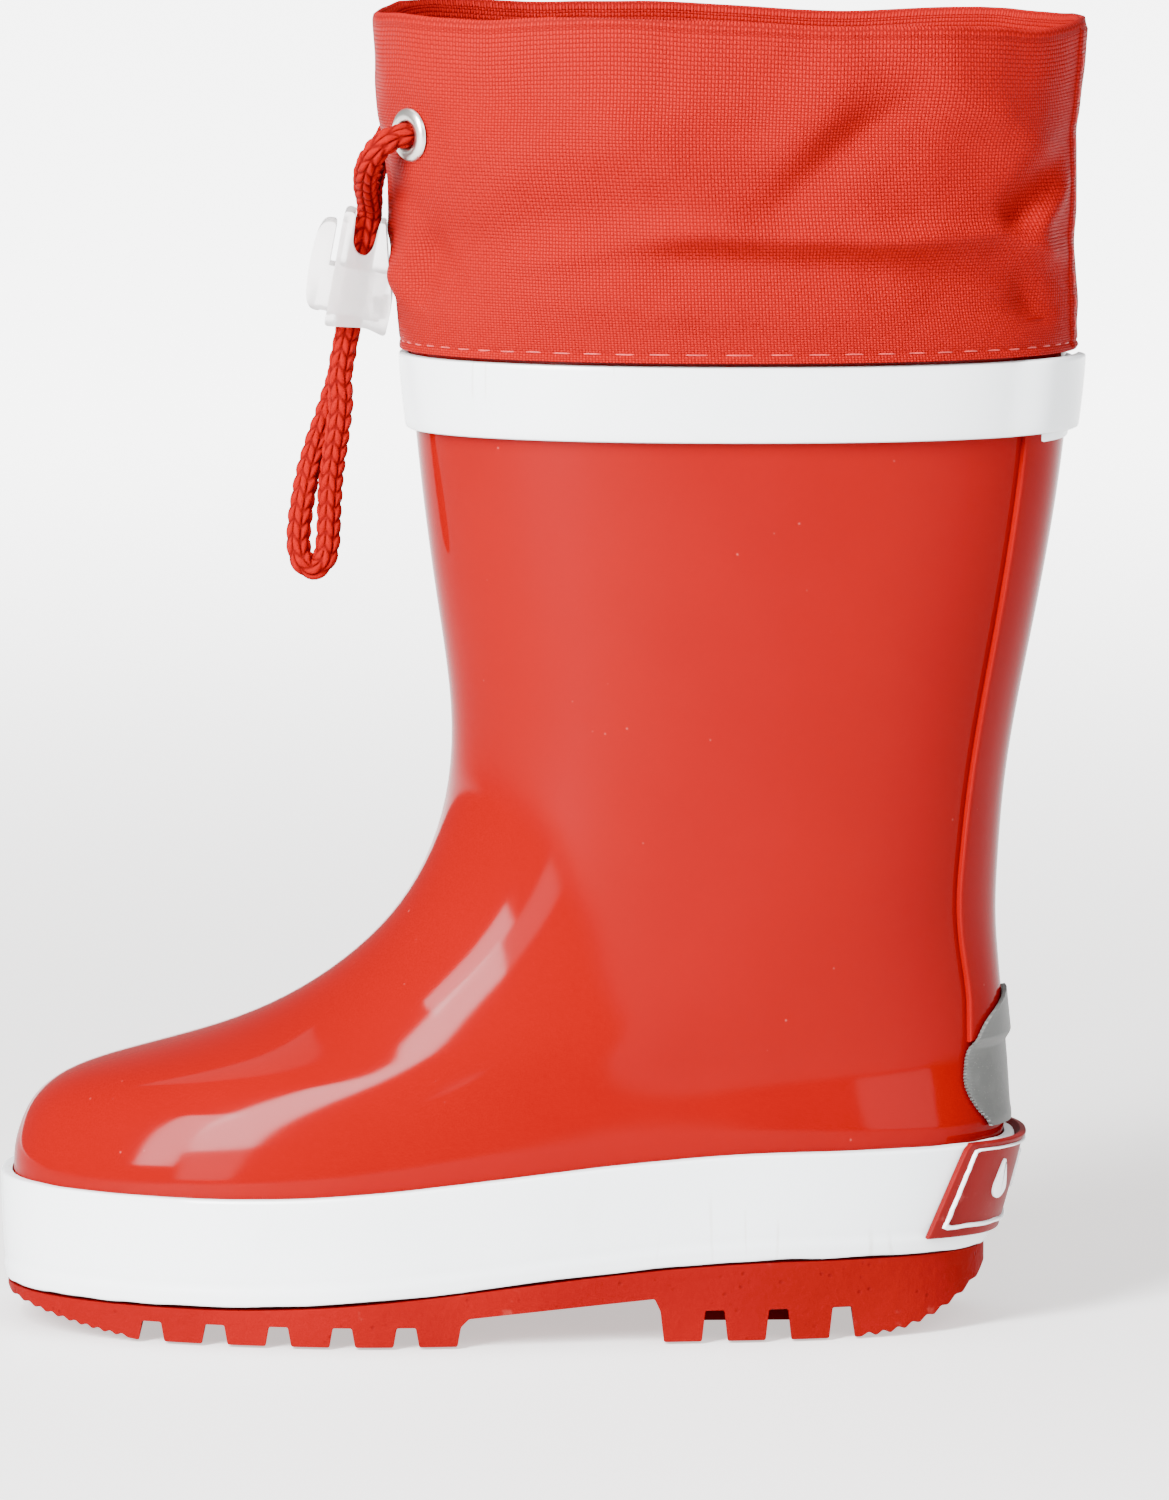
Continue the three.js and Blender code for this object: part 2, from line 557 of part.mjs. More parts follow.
function cuffSolid() {
  const levels = [0, 1.2, 2.2, 3.1, 3.6, 4.1, 4.6, 5.2, 5.9];
  const sections = steps(ROUND).slice(0, -1).map((part) => {
    const angle = part * 2 * Math.PI;
    const at = (level, offset) => onFace(CUFF, level, angle, offset);
    const rimDepth = -innerLayer(CUFF_LEVEL) + FABRIC_WALL;
    return [
      ...levels.map((level) => at(level, 0)),
      at(CUFF_LEVEL, -0.3 * rimDepth),
      at(CUFF_LEVEL, -0.7 * rimDepth),
      ...levels.map((level) => at(level, innerLayer(level) - FABRIC_WALL)).reverse(),
      ...levels.map((level) => at(level, innerLayer(level))),
      ...levels.map((level) => at(level, -FABRIC_WALL)).reverse(),
    ];
  });
  return toManifold(wrap(sections, true));
}

const eyeletAngles = { near: Math.PI + EYELET_ANGLE, far: Math.PI - EYELET_ANGLE };

function eyeletHole(angle) {
  const radius = EYELET_BARREL + GAP;
  const depth = FABRIC_WALL + 3;
  const hole = new THREE.Mesh(new THREE.CylinderGeometry(radius, radius, depth, 20).rotateX(Math.PI / 2));
  stand(hole, CUFF, EYELET_LEVEL, angle, 0).updateMatrixWorld();
  return toManifold(hole.geometry.applyMatrix4(hole.matrixWorld));
}

const cuffWithHoles = Object.values(eyeletAngles).reduce((cuff, angle) => cuff.subtract(eyeletHole(angle)),
  cuffSolid());
piece('cuff', toGeometry(cuffWithHoles), NYLON);

const WASHER_TOP = -(FABRIC_WALL + 0.6);
const WASHER_WALL = 0.5;
const CURL_TOP = WASHER_TOP - WASHER_WALL - GAP;
const CURL_WALL = 0.5;
const WASHER_RADIUS = 3.9;

// Profiles of radius and height over the cloth, turned about the eyelet's axis.
const eyeletProfile = [
  [EYELET_BORE, EYELET_FLANGE], [EYELET_BORE + 0.5, GAP + EYELET_FLANGE], [EYELET_RADIUS - 0.6, GAP + EYELET_FLANGE],
  [EYELET_RADIUS, GAP + 0.25], [EYELET_RADIUS - 0.1, GAP], [EYELET_BARREL, GAP], [EYELET_BARREL, CURL_TOP],
  [WASHER_RADIUS - 0.2, CURL_TOP], [WASHER_RADIUS - 0.2, CURL_TOP - CURL_WALL], [EYELET_BORE, CURL_TOP - CURL_WALL],
];
const washerProfile = [
  [EYELET_BARREL + GAP, WASHER_TOP], [WASHER_RADIUS, WASHER_TOP],
  [WASHER_RADIUS, WASHER_TOP - WASHER_WALL], [EYELET_BARREL + GAP, WASHER_TOP - WASHER_WALL],
];

// A ring whose profile closes on itself.
function ring(profile, segments) {
  const loop = [...profile, profile[0]].map(([radius, height]) => new THREE.Vector2(radius, height));
  return new THREE.LatheGeometry(loop.reverse(), segments).rotateX(Math.PI / 2);
}

Object.entries(eyeletAngles).forEach(([side, angle]) => {
  stand(piece(`eyelet_${side}`, ring(eyeletProfile, 20), NICKEL), CUFF, EYELET_LEVEL, angle, 0);
  stand(piece(`eyelet_washer_${side}`, ring(washerProfile, 16), NICKEL), CUFF, EYELET_LEVEL, angle, 0);
});

// ---- Draw cord -----------------------------------------------------------------------------------

function tube(points, diameter, sides, count) {
  const circle = new THREE.Shape().absarc(0, 0, diameter / 2, 0, 2 * Math.PI, false);
  const section = new THREE.Shape(circle.getPoints(sides).slice(0, sides));
  const extrudePath = new THREE.CatmullRomCurve3(points, false, 'centripetal');
  return new THREE.ExtrudeGeometry(section, { extrudePath, steps: count, bevelEnabled: false });
}

// The part in the channel runs round the back from one eyelet's washer to the other's.
const TUNNEL_DEPTH = -(FABRIC_WALL + INNER_GAP + CORD / 2);
const TUNNEL_CLEAR = 0.22; // angle kept free at each eyelet
const tunnelReach = Math.PI - EYELET_ANGLE - TUNNEL_CLEAR;
const tunnelPoints = between(-tunnelReach, tunnelReach, 40).map((angle) =>
  onFace(CUFF, EYELET_LEVEL, angle, TUNNEL_DEPTH));
piece('drawcord_tunnel', tube(tunnelPoints, CORD, 8, 32), BRAID);

// The free part comes out of the near eyelet, goes down through the lock, turns at the bottom of the loop,
// comes up through the lock again and goes in at the far eyelet.
function eyeletWay(angle) {
  return [-FABRIC_WALL - CORD, -2, 0.6].map((offset) => onFace(CUFF, EYELET_LEVEL, angle, offset));
}

const lockWay = (height, side) => new THREE.Vector3(SLOT_X, side * STRAND_SPACING / 2, height)
  .applyAxisAngle(new THREE.Vector3(0, 1, 0), LOCK_TILT).add(LOCK_AT);
const point = (x, y, z) => new THREE.Vector3(x, y, z);
const nearStrand = [
  point(-26, -17.4, 208.6), point(-28.2, -17.8, 207.2), point(-29.8, -16.5, 205.1), point(-30.7, -13.5, 202.3),
  point(-30.8, -9.2, 199.6), point(-30.5, -4.9, 197.2),
];
const nearTail = [
  point(-35.4, -2.2, 162.5), point(-35.8, -1.9, 158), point(-36.5, -1.4, 153.5), point(-37.1, -0.8, 149),
  point(-37.5, -0.4, 144.5), point(-37.7, -0.1, 140), point(-37.9, 0, 136.6),
];
const loopBottom = [point(-38.7, 0, 133.6), point(-40.5, 0, 132.3), point(-42.3, 0, 133.7)];
const farTail = [
  point(-43, 0, 136.8), point(-42.8, 0.1, 140.2), point(-42.2, 0.3, 144.5), point(-41.3, 0.8, 149),
  point(-40, 1.4, 153.5), point(-38.4, 1.9, 158), point(-36.9, 2.2, 162.5),
];
const farStrand = [
  point(-30.4, 4.9, 197.2), point(-30.1, 9.2, 199.4), point(-29.5, 13, 201.9), point(-28.7, 16, 204.7),
  point(-27.4, 17.7, 207), point(-25.8, 17.4, 208.5),
];
const LOCK_ENDS = [10.4, 4, -4, -10.5, -18.5]; // heights along the lock's axis that the strands keep to
const cordPoints = [
  ...eyeletWay(eyeletAngles.near), ...nearStrand, ...LOCK_ENDS.map((height) => lockWay(height, -1)),
  ...nearTail, ...loopBottom, ...farTail,
  ...[...LOCK_ENDS].reverse().map((height) => lockWay(height, 1)), ...farStrand,
  ...eyeletWay(eyeletAngles.far).reverse(),
];
piece('drawcord_loop', tube(cordPoints, CORD, 8, 72), BRAID);

// ---- Cord lock -----------------------------------------------------------------------------------

const lock = new THREE.Group();
lock.position.copy(LOCK_AT);
lock.rotation.y = LOCK_TILT;
boot.add(lock);

const SLOT_HALF_X = CORD / 2 + GAP;
const SLOT_HALF_Y = STRAND_SPACING / 2 + CORD / 2 + GAP;
const PLUNGER_HALF_Y = SLOT_HALF_Y + LOCK_WALL;
const BORE_HALF_Y = PLUNGER_HALF_Y + GAP;
const LOCK_HALF_Y = BORE_HALF_Y + LOCK_WALL;
const NOTCH_BOTTOM = 2.9;
const NOTCH_HALF = SLOT_HALF_X - 0.15;

function block(x0, x1, y0, y1, z0, z1) {
  const box = new THREE.BoxGeometry(x1 - x0, y1 - y0, z1 - z0);
  return toManifold(box.translate((x0 + x1) / 2, (y0 + y1) / 2, (z0 + z1) / 2));
}

// Seen from the side the barrel is a plate on the left, a deep notch where the cord goes in, a horn on the
// right of it and a flared foot.
const HORN_TOP = 9.2;
const FOOT_BACK = 6.3;
const FLARE_Z = -6.2;
const barrelProfile = [
  [LOCK_LEFT, -LOCK_HALF_HEIGHT], [SLOT_X + 3, 1 - LOCK_HALF_HEIGHT], [FOOT_BACK, -LOCK_HALF_HEIGHT],
  [FOOT_BACK + 0.1, FLARE_Z], [FOOT_BACK, -3.6], [FOOT_BACK - 1, 0], [4.1, 4.2], [2.9, HORN_TOP], [SLOT_X + NOTCH_HALF, HORN_TOP],
  [SLOT_X + NOTCH_HALF - 0.4, NOTCH_BOTTOM + 1.6], [SLOT_X + 0.8, NOTCH_BOTTOM], [SLOT_X - 0.8, NOTCH_BOTTOM + 0.3],
  [SLOT_X - NOTCH_HALF + 0.4, NOTCH_BOTTOM + 1.8], [SLOT_X - NOTCH_HALF, LOCK_HALF_HEIGHT],
  [LOCK_LEFT, LOCK_HALF_HEIGHT],
];
const slotLeft = SLOT_X - SLOT_HALF_X;
const slotRight = SLOT_X + SLOT_HALF_X;
const barrel = profileSolid(barrelProfile, LOCK_HALF_Y)
  .subtract(block(slotLeft, slotRight, -SLOT_HALF_Y, SLOT_HALF_Y, -20, 20));

const springEnd = FOOT_BACK - LOCK_WALL + 0.3;
const barEnd = slotRight + PLUNGER_BAR;
const boreEnd = barEnd + BUTTON_TRAVEL + GAP;
const plungerBore = block(LOCK_LEFT - 1, boreEnd, -BORE_HALF_Y, BORE_HALF_Y, PLUNGER_BOTTOM - GAP, PLUNGER_TOP + GAP);
const headRecess = block(LOCK_LEFT - 1, LOCK_LEFT + BUTTON_RECESS, -BORE_HALF_Y, BORE_HALF_Y,
  -BUTTON_HALF_HEIGHT - GAP, BUTTON_HALF_HEIGHT + GAP);
const springPocket = block(barEnd, springEnd, -SPRING_RADIUS - GAP, SPRING_RADIUS + GAP,
  SPRING_Z - SPRING_RADIUS - GAP, SPRING_Z + SPRING_RADIUS + GAP);
piece('cord_lock_body', toGeometry(barrel.subtract(plungerBore).subtract(headRecess).subtract(springPocket)),
  CLEAR_PLASTIC, lock);

// The button's domed head tapers to the plunger. At rest the bar behind its slot pinches the cord.
const headEnd = LOCK_LEFT + BUTTON_RECESS - BUTTON_TRAVEL - GAP;
const buttonProfile = [
  [headEnd, -BUTTON_HALF_HEIGHT], [headEnd, BUTTON_HALF_HEIGHT], [BUTTON_FACE + 1.3, BUTTON_HALF_HEIGHT - 0.2],
  [BUTTON_FACE + 0.4, BUTTON_HALF_HEIGHT - 2], [BUTTON_FACE, 0], [BUTTON_FACE + 0.4, 2 - BUTTON_HALF_HEIGHT],
  [BUTTON_FACE + 1.3, 0.2 - BUTTON_HALF_HEIGHT],
];
const plunger = block(headEnd - 1, barEnd, -PLUNGER_HALF_Y, PLUNGER_HALF_Y, PLUNGER_BOTTOM, PLUNGER_TOP);
const plungerSlot = block(slotLeft - BUTTON_TRAVEL, slotRight, -SLOT_HALF_Y, SLOT_HALF_Y, -20, 20);
const button = profileSolid(buttonProfile, PLUNGER_HALF_Y).add(plunger).subtract(plungerSlot);
piece('cord_lock_button', toGeometry(button), CLEAR_PLASTIC, lock);

// A short compression spring between the plunger's bar and the barrel's back wall.
const springStart = barEnd + GAP + SPRING_WIRE / 2;
const springStop = springEnd - GAP - SPRING_WIRE / 2;
const springPoints = steps(36).map((part) => {
  const turn = part * SPRING_TURNS * 2 * Math.PI;
  const radius = SPRING_RADIUS - SPRING_WIRE / 2;
  return point(lerp(springStart, springStop, part), radius * Math.cos(turn), SPRING_Z + radius * Math.sin(turn));
});
piece('cord_lock_spring', tube(springPoints, SPRING_WIRE, 5, 30), SPRING_STEEL, lock);

export default boot;
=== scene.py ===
# A child's rubber rain boot, finished over its CAD frame. Sizes are in millimetres until a piece is placed.
import math
import random
import bmesh
import bpy
from mathutils import Matrix, Vector, noise


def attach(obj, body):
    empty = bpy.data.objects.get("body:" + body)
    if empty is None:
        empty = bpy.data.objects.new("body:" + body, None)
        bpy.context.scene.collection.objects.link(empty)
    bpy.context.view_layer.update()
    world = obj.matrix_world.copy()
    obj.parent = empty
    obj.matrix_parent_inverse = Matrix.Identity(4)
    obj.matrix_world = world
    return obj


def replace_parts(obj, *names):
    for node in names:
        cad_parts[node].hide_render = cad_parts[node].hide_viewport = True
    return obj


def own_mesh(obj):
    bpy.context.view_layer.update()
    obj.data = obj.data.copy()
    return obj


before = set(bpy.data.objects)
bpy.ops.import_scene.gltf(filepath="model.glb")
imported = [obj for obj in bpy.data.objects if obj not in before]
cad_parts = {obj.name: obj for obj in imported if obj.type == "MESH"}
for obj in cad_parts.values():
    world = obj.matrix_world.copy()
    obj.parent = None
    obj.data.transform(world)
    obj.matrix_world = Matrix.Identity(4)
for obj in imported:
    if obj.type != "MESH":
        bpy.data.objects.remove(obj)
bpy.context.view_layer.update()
MM = 0.001
TAU = 2 * math.pi
NEAR = 1.5 * math.pi  # the outer side of the foot, on the form's angles

# ---- Camera ----------------------------------------------------------------------------------------

CAMERA_AT = Vector((0.007, -1.76, 0.326))
CAMERA_AIM = Vector((0.007, 0.0, 0.1002))


def make_camera():
    data = bpy.data.cameras.new("camera")
    data.sensor_fit = "VERTICAL"
    data.sensor_height = 36
    data.lens = 243
    data.clip_end = 50
    camera = bpy.data.objects.new("camera", data)
    camera.location = CAMERA_AT
    camera.rotation_euler = (CAMERA_AIM - CAMERA_AT).to_track_quat("-Z", "Y").to_euler()
    bpy.context.scene.collection.objects.link(camera)
    bpy.context.scene.camera = camera


make_camera()

# ---- Small sums ------------------------------------------------------------------------------------


def mix(a, b, share):
    return a + (b - a) * share


def clamp(value, low=0.0, high=1.0):
    return max(low, min(high, value))


def ease(value, low, high):
    share = clamp((value - low) / (high - low))
    return share * share * (3 - 2 * share)


def hill(value, width):
    return math.exp(-((value / width) ** 2))


def spaced(start, end, count):
    return [mix(start, end, i / count) for i in range(count + 1)]


def number(value, *at):
    return value(*at) if callable(value) else value


def curve_through(rows, at):
    """A uniform Catmull-Rom curve through rows of numbers, at a place counted in rows."""
    last = len(rows) - 1
    i = min(int(clamp(at, 0, last)), last - 1)
    t = clamp(at, 0, last) - i
    b, c = rows[i], rows[i + 1]
    a = rows[i - 1] if i else [2 * p - q for p, q in zip(b, c)]
    d = rows[i + 2] if i + 2 <= last else [2 * q - p for p, q in zip(b, c)]
    return [
        q + 0.5 * t * (r - p + t * (2 * p - 5 * q + 4 * r - s + t * (3 * (q - r) + s - p)))
        for p, q, r, s in zip(a, b, c, d)
    ]


# ---- The boot's form, close to the CAD's ------------------------------------------------------------

HEEL_X, FOOT_LENGTH = 80.6, 174.2
BALL, HEEL, SHAFT = 34, 28.5, 32  # half widths
SHAFT_TOP, CUFF_TOP, VAMP_TOP = 170.5, 230.7, 92
BALL_TOP, HEEL_TOP, FOXING_HEIGHT = 6.2, 13.9, 19.3
GAP = 0.3
TOE_X = HEEL_X - FOOT_LENGTH
BALL_X, BREAST_X, SHANK_X, ANKLE_X = TOE_X + 33, 20.8, 44.8, -17


def sole_top(x):
    toe = clamp((BALL_X - x) / (BALL_X - TOE_X), 0, 1.2)
    return mix(BALL_TOP, HEEL_TOP, ease(x, BALL_X, SHANK_X)) + 0.5 * toe ** 2


def reach(part):
    return mix(ANKLE_X, TOE_X, part)


def rise(part):
    return mix(VAMP_TOP, SHAFT_TOP, part)


# Front and back points, half widths over the ball and the heel, squareness, inward swing, sag with the sole.
BOOT_ROWS = [
    (reach(0.991), sole_top(TOE_X) + GAP, HEEL_X - 5, HEEL_TOP + GAP, BALL - 0.6, HEEL - 0.8, 2.7, 3, 1),
    (TOE_X, sole_top(TOE_X) + FOXING_HEIGHT, HEEL_X, HEEL_TOP + FOXING_HEIGHT, BALL, HEEL, 2.65, 3, 1),
    (reach(0.986), 33.6, HEEL_X, 39, BALL - 0.5, HEEL, 2.55, 3, 0.8),
    (reach(0.944), 39.4, HEEL_X - 0.2, 43, BALL - 1.6, HEEL - 0.3, 2.45, 2.8, 0.55),
    (reach(0.858), 43.6, HEEL_X - 0.5, 47, BALL - 3, HEEL - 0.5, 2.35, 2.4, 0.35),
    (reach(0.722), 46.8, HEEL_X - 0.9, 51.5, BALL - 4.4, HEEL - 0.6, 2.3, 1.8, 0.2),
    (reach(0.521), 51.2, HEEL_X - 1.5, 57, BALL - 5.6, HEEL - 0.6, 2.25, 1.1, 0.1),
    (reach(0.34), 57.6, HEEL_X - 2.1, 63.5, BALL - 6.2, HEEL - 0.5, 2.2, 0.5, 0),
    (reach(0.178), 67, HEEL_X - 2.7, 72, BALL - 6.2, HEEL - 0.3, 2.2, 0.2, 0),
    (reach(0.068), 78, HEEL_X - 2.3, 82, BALL - 5.8, HEEL, 2.2, 0, 0),
    (reach(0.002), VAMP_TOP, HEEL_X - 1.3, 95, SHAFT - 3, SHAFT - 3.2, 2.2, 0, 0),
    (ANKLE_X + 0.8, rise(0.21), HEEL_X + 0.9, rise(0.22), SHAFT - 2.2, SHAFT - 2.6, 2.2, 0, 0),
    (ANKLE_X - 2, rise(0.46), HEEL_X + 4.8, rise(0.47), SHAFT - 1.4, SHAFT - 1.6, 2.2, 0, 0),
    (ANKLE_X - 4.6, rise(0.72), HEEL_X + 8, rise(0.72), SHAFT - 0.6, SHAFT - 0.8, 2.2, 0, 0),
    (ANKLE_X - 6.6, SHAFT_TOP, HEEL_X + 10.4, SHAFT_TOP, SHAFT, SHAFT, 2.2, 0, 0),
    (ANKLE_X - 6.3, SHAFT_TOP + 7, HEEL_X + 11, SHAFT_TOP + 7, SHAFT + 0.3, SHAFT + 0.3, 2.2, 0, 0),
]
CUFF_PROUD = 2.6
CUFF_FRONT, CUFF_BACK, CUFF_HALF = ANKLE_X - 5.6 - CUFF_PROUD, HEEL_X + 10.4 + CUFF_PROUD, SHAFT + CUFF_PROUD
CUFF_BASE = SHAFT_TOP + 0.7


def cuff_row(front, front_rise, back, back_rise):
    return (CUFF_FRONT - front, mix(CUFF_BASE, CUFF_TOP, front_rise), CUFF_BACK + back,
            mix(CUFF_BASE, CUFF_TOP, back_rise), CUFF_HALF, CUFF_HALF, 2.2, 0, 0)


CUFF_ROWS = [
    cuff_row(0, 0, -0.9, 0), cuff_row(0.5, 0.123, -1.4, 0.123), cuff_row(1.4, 0.273, -1.3, 0.273),
    cuff_row(2.3, 0.443, -1.6, 0.443), cuff_row(3, 0.622, -2, 0.613), cuff_row(3.7, 0.783, -0.8, 0.764),
    cuff_row(4.5, 1, 0.5, 1 - 2 / (CUFF_TOP - CUFF_BASE)),
]


class Form:
    """Rows of rings. Angle 0 is the back, a quarter turn the inner side, half a turn the front."""

    def __init__(self, rows, blur):
        self.rows, self.blur, self.last, self.known = rows, blur, len(rows) - 1, {}

    def ring(self, level):
        key = round(level, 4)
        if key not in self.known:
            level = clamp(level, 0, self.last)
            reach = self.blur * ease(level, 1, 2.2) * (1 - ease(level, self.last - 3, self.last - 1.2))
            below, here, above = (curve_through(self.rows, level + side * reach) for side in (-1, 0, 1))
            self.known[key] = [(a + 2 * b + c) / 4 for a, b, c in zip(below, here, above)]
        return self.known[key]

    def face(self, level, angle):
        fx, fz, bx, bz, front_half, back_half, square, swing, sag = self.ring(level)
        cos, sin = math.cos(angle), math.sin(angle)
        along = math.copysign(abs(cos) ** (2 / square), cos)
        across = math.copysign(abs(sin) ** (2 / square), sin)
        forward = (1 - along) / 2
        half = mix(back_half, front_half, ease(-along, -0.45, 0.35))
        x = mix(bx, fx, forward)
        chord = mix(sole_top(bx), sole_top(fx), forward)
        z = mix(bz, fz, forward) + sag * (sole_top(x) - chord)
        return Vector((x, half * across + swing * ease(-along, 0.25, 1), z))

    def normal(self, level, angle):
        small = 0.012
        low = clamp(level - small, 0, self.last - 2 * small)
        up = self.face(low + 2 * small, angle) - self.face(low, angle)
        way_round = self.face(level, angle + small) - self.face(level, angle - small)
        return way_round.cross(up).normalized()

    def at(self, level, angle, offset=0.0):
        return (self.face(level, angle) + offset * self.normal(level, angle)) * MM

    def frame_at(self, level, angle, offset):
        """A matrix whose Z is the outward normal and whose Y points up the form, at a point on it."""
        normal = self.normal(level, angle)
        side = Vector((0, 0, 1)).cross(normal).normalized()
        turn = Matrix((side, normal.cross(side), normal)).transposed().to_4x4()
        return Matrix.Translation(self.at(level, angle, offset)) @ turn


BOOT = Form(BOOT_ROWS, 0.45)
CUFF = Form(CUFF_ROWS, 0.25)
SHAFT_LEVEL, TOP_LEVEL, CUFF_LEVEL = 14, 15, 6
MM_PER_LEVEL = (SHAFT_TOP - VAMP_TOP) / 4


def girth(form, level, count=360):
    """Lengths round the form to each of count steps."""
    lengths, here = [0.0], form.face(level, 0)
    for i in range(count):
        there = form.face(level, (i + 1) * TAU / count)
        lengths.append(lengths[-1] + (there - here).length)
        here = there
    return lengths


def length_to(lengths, angle):
    place = (angle / TAU) * (len(lengths) - 1)
    whole = math.floor(place)
    turns, i = divmod(whole, len(lengths) - 1)
    return turns * lengths[-1] + mix(lengths[i], lengths[i + 1], place - whole)


# ---- Making pieces ---------------------------------------------------------------------------------


def finish_mesh(name, bm, material, flat_angle=40, body="boot"):
    bmesh.ops.recalc_face_normals(bm, faces=bm.faces)
    mesh = bpy.data.meshes.new(name)
    bm.to_mesh(mesh)
    bm.free()
    mesh.polygons.foreach_set("use_smooth", [True] * len(mesh.polygons))
    mesh.set_sharp_from_angle(angle=math.radians(flat_angle))
    mesh.materials.append(material)
    piece = bpy.data.objects.new(name, mesh)
    bpy.context.scene.collection.objects.link(piece)
    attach(piece, body)
    return piece


def only_verts(geometry):
    return [item for item in geometry if isinstance(item, bmesh.types.BMVert)]


def sweep(section, count, place, closed, lay=None):
    """A ring of vertices, one for each entry of section, extruded in count steps. place(share, entry) gives a
    vertex its point, and lay(share, index) its place on the flat cloth or cord, in metres."""
    bm = bmesh.new()
    entry = bm.verts.layers.int.new("entry")
    step = bm.verts.layers.int.new("step")
    start = [bm.verts.new(place(0.0, item)) for item in section]
    for i, vert in enumerate(start):
        vert[entry] = i
    ring = [bm.edges.new((a, b)) for a, b in zip(start, start[1:] + start[:1])]
    if not closed:
        bm.faces.new(start)
    for i in range(1, count + 1):
        grown = bmesh.ops.extrude_edge_only(bm, edges=ring)["geom"]
        ring = [item for item in grown if isinstance(item, bmesh.types.BMEdge)]
        for vert in only_verts(grown):
            vert[step] = i
            vert.co = place(i / count, section[vert[entry]])
    if not closed:
        bmesh.ops.holes_fill(bm, edges=ring, sides=0)
    if lay:
        flat = bm.loops.layers.uv.new("flat")
        size = len(section)
        for face in bm.faces:
            entries = [loop.vert[entry] for loop in face.loops]
            wraps = max(entries) - min(entries) > size / 2
            for loop in face.loops:
                i = loop.vert[entry]
                loop[flat].uv = lay(loop.vert[step] / count, i + size if wraps and i < size / 2 else i)
    if closed:
        bmesh.ops.remove_doubles(bm, verts=bm.verts, dist=1e-7)
    return bm


def patch(form, columns, rows, place, inner, outer, round_over=0.0, segments=3):
    """A grid laid on the form and thickened outward, with its outer edge rounded. place(u, v) gives the level
    and the angle."""
    bm = bmesh.new()
    u = bm.verts.layers.float.new("u")
    v = bm.verts.layers.float.new("v")
    top = bm.verts.layers.int.new("top")
    bmesh.ops.create_grid(bm, x_segments=columns, y_segments=rows, size=1)
    for vert in bm.verts:
        vert[u], vert[v] = vert.co.x, vert.co.y
        vert.co = form.at(*place(vert[u], vert[v]), number(inner, vert[u], vert[v]))
    grown = bmesh.ops.extrude_face_region(bm, geom=bm.faces[:])["geom"]
    for vert in only_verts(grown):
        vert[top] = 1
        vert.co = form.at(*place(vert[u], vert[v]), number(outer, vert[u], vert[v]))
    bmesh.ops.recalc_face_normals(bm, faces=bm.faces)
    if round_over:
        rim = [e for e in bm.edges if all(w[top] for w in e.verts)
               and any(not all(w[top] for w in f.verts) for f in e.link_faces)]
        bmesh.ops.bevel(bm, geom=rim, offset=round_over * MM, segments=segments, profile=0.5, affect="EDGES",
                        material=-1, clamp_overlap=True)
    return bm


def prism(points, half, round_over=0.0, segments=3):
    """A profile in X and Z, extruded across Y, with rounded edges."""
    bm = bmesh.new()
    face = bm.faces.new([bm.verts.new((x * MM, -half * MM, z * MM)) for x, z in points])
    grown = bmesh.ops.extrude_face_region(bm, geom=[face])["geom"]
    bmesh.ops.translate(bm, vec=(0, 2 * half * MM, 0), verts=only_verts(grown))
    bmesh.ops.recalc_face_normals(bm, faces=bm.faces)
    if round_over:
        bmesh.ops.bevel(bm, geom=bm.edges[:], offset=round_over * MM, segments=segments, profile=0.5,
                        affect="EDGES", material=-1, clamp_overlap=True)
    return bm


def turned(profile, count, place):
    """A closed profile of radius and height, spun about Z and moved by a matrix."""
    bm = bmesh.new()
    verts = [bm.verts.new((radius * MM, 0, height * MM)) for radius, height in profile]
    edges = [bm.edges.new((a, b)) for a, b in zip(verts, verts[1:] + verts[:1])]
    bmesh.ops.spin(bm, geom=verts + edges, cent=(0, 0, 0), axis=(0, 0, 1), angle=TAU, steps=count, use_merge=True)
    bmesh.ops.remove_doubles(bm, verts=bm.verts, dist=1e-7)
    bmesh.ops.transform(bm, matrix=place, verts=bm.verts)
    return bm


# ---- Finishes --------------------------------------------------------------------------------------


class Strand:
    """A shader socket that takes plain sums."""

    def __init__(self, finish, socket):
        self.finish, self.socket = finish, socket

    def sum(self, operation, *values):
        return self.finish.node("ShaderNodeMath", {"operation": operation}, dict(enumerate(values)))

    def __add__(self, other):
        return self.sum("ADD", self, other)

    def __sub__(self, other):
        return self.sum("SUBTRACT", self, other)

    def __rsub__(self, other):
        return self.sum("SUBTRACT", other, self)

    def __mul__(self, other):
        return self.sum("MULTIPLY", self, other)

    def __truediv__(self, other):
        return self.sum("DIVIDE", self, other)

    def __pow__(self, other):
        return self.sum("POWER", self, other)

    __radd__, __rmul__ = __add__, __mul__

    def cut(self, low, high):
        """0 below low, 1 above high, and smooth between them."""
        return self.finish.node("ShaderNodeMapRange", {"interpolation_type": "SMOOTHSTEP"},
                                {"Value": self, "From Min": low, "From Max": high})

    def wave(self):
        return self.sum("SINE", self)

    def fraction(self):
        return self.sum("FRACT", self)

    def size(self):
        return self.sum("ABSOLUTE", self)


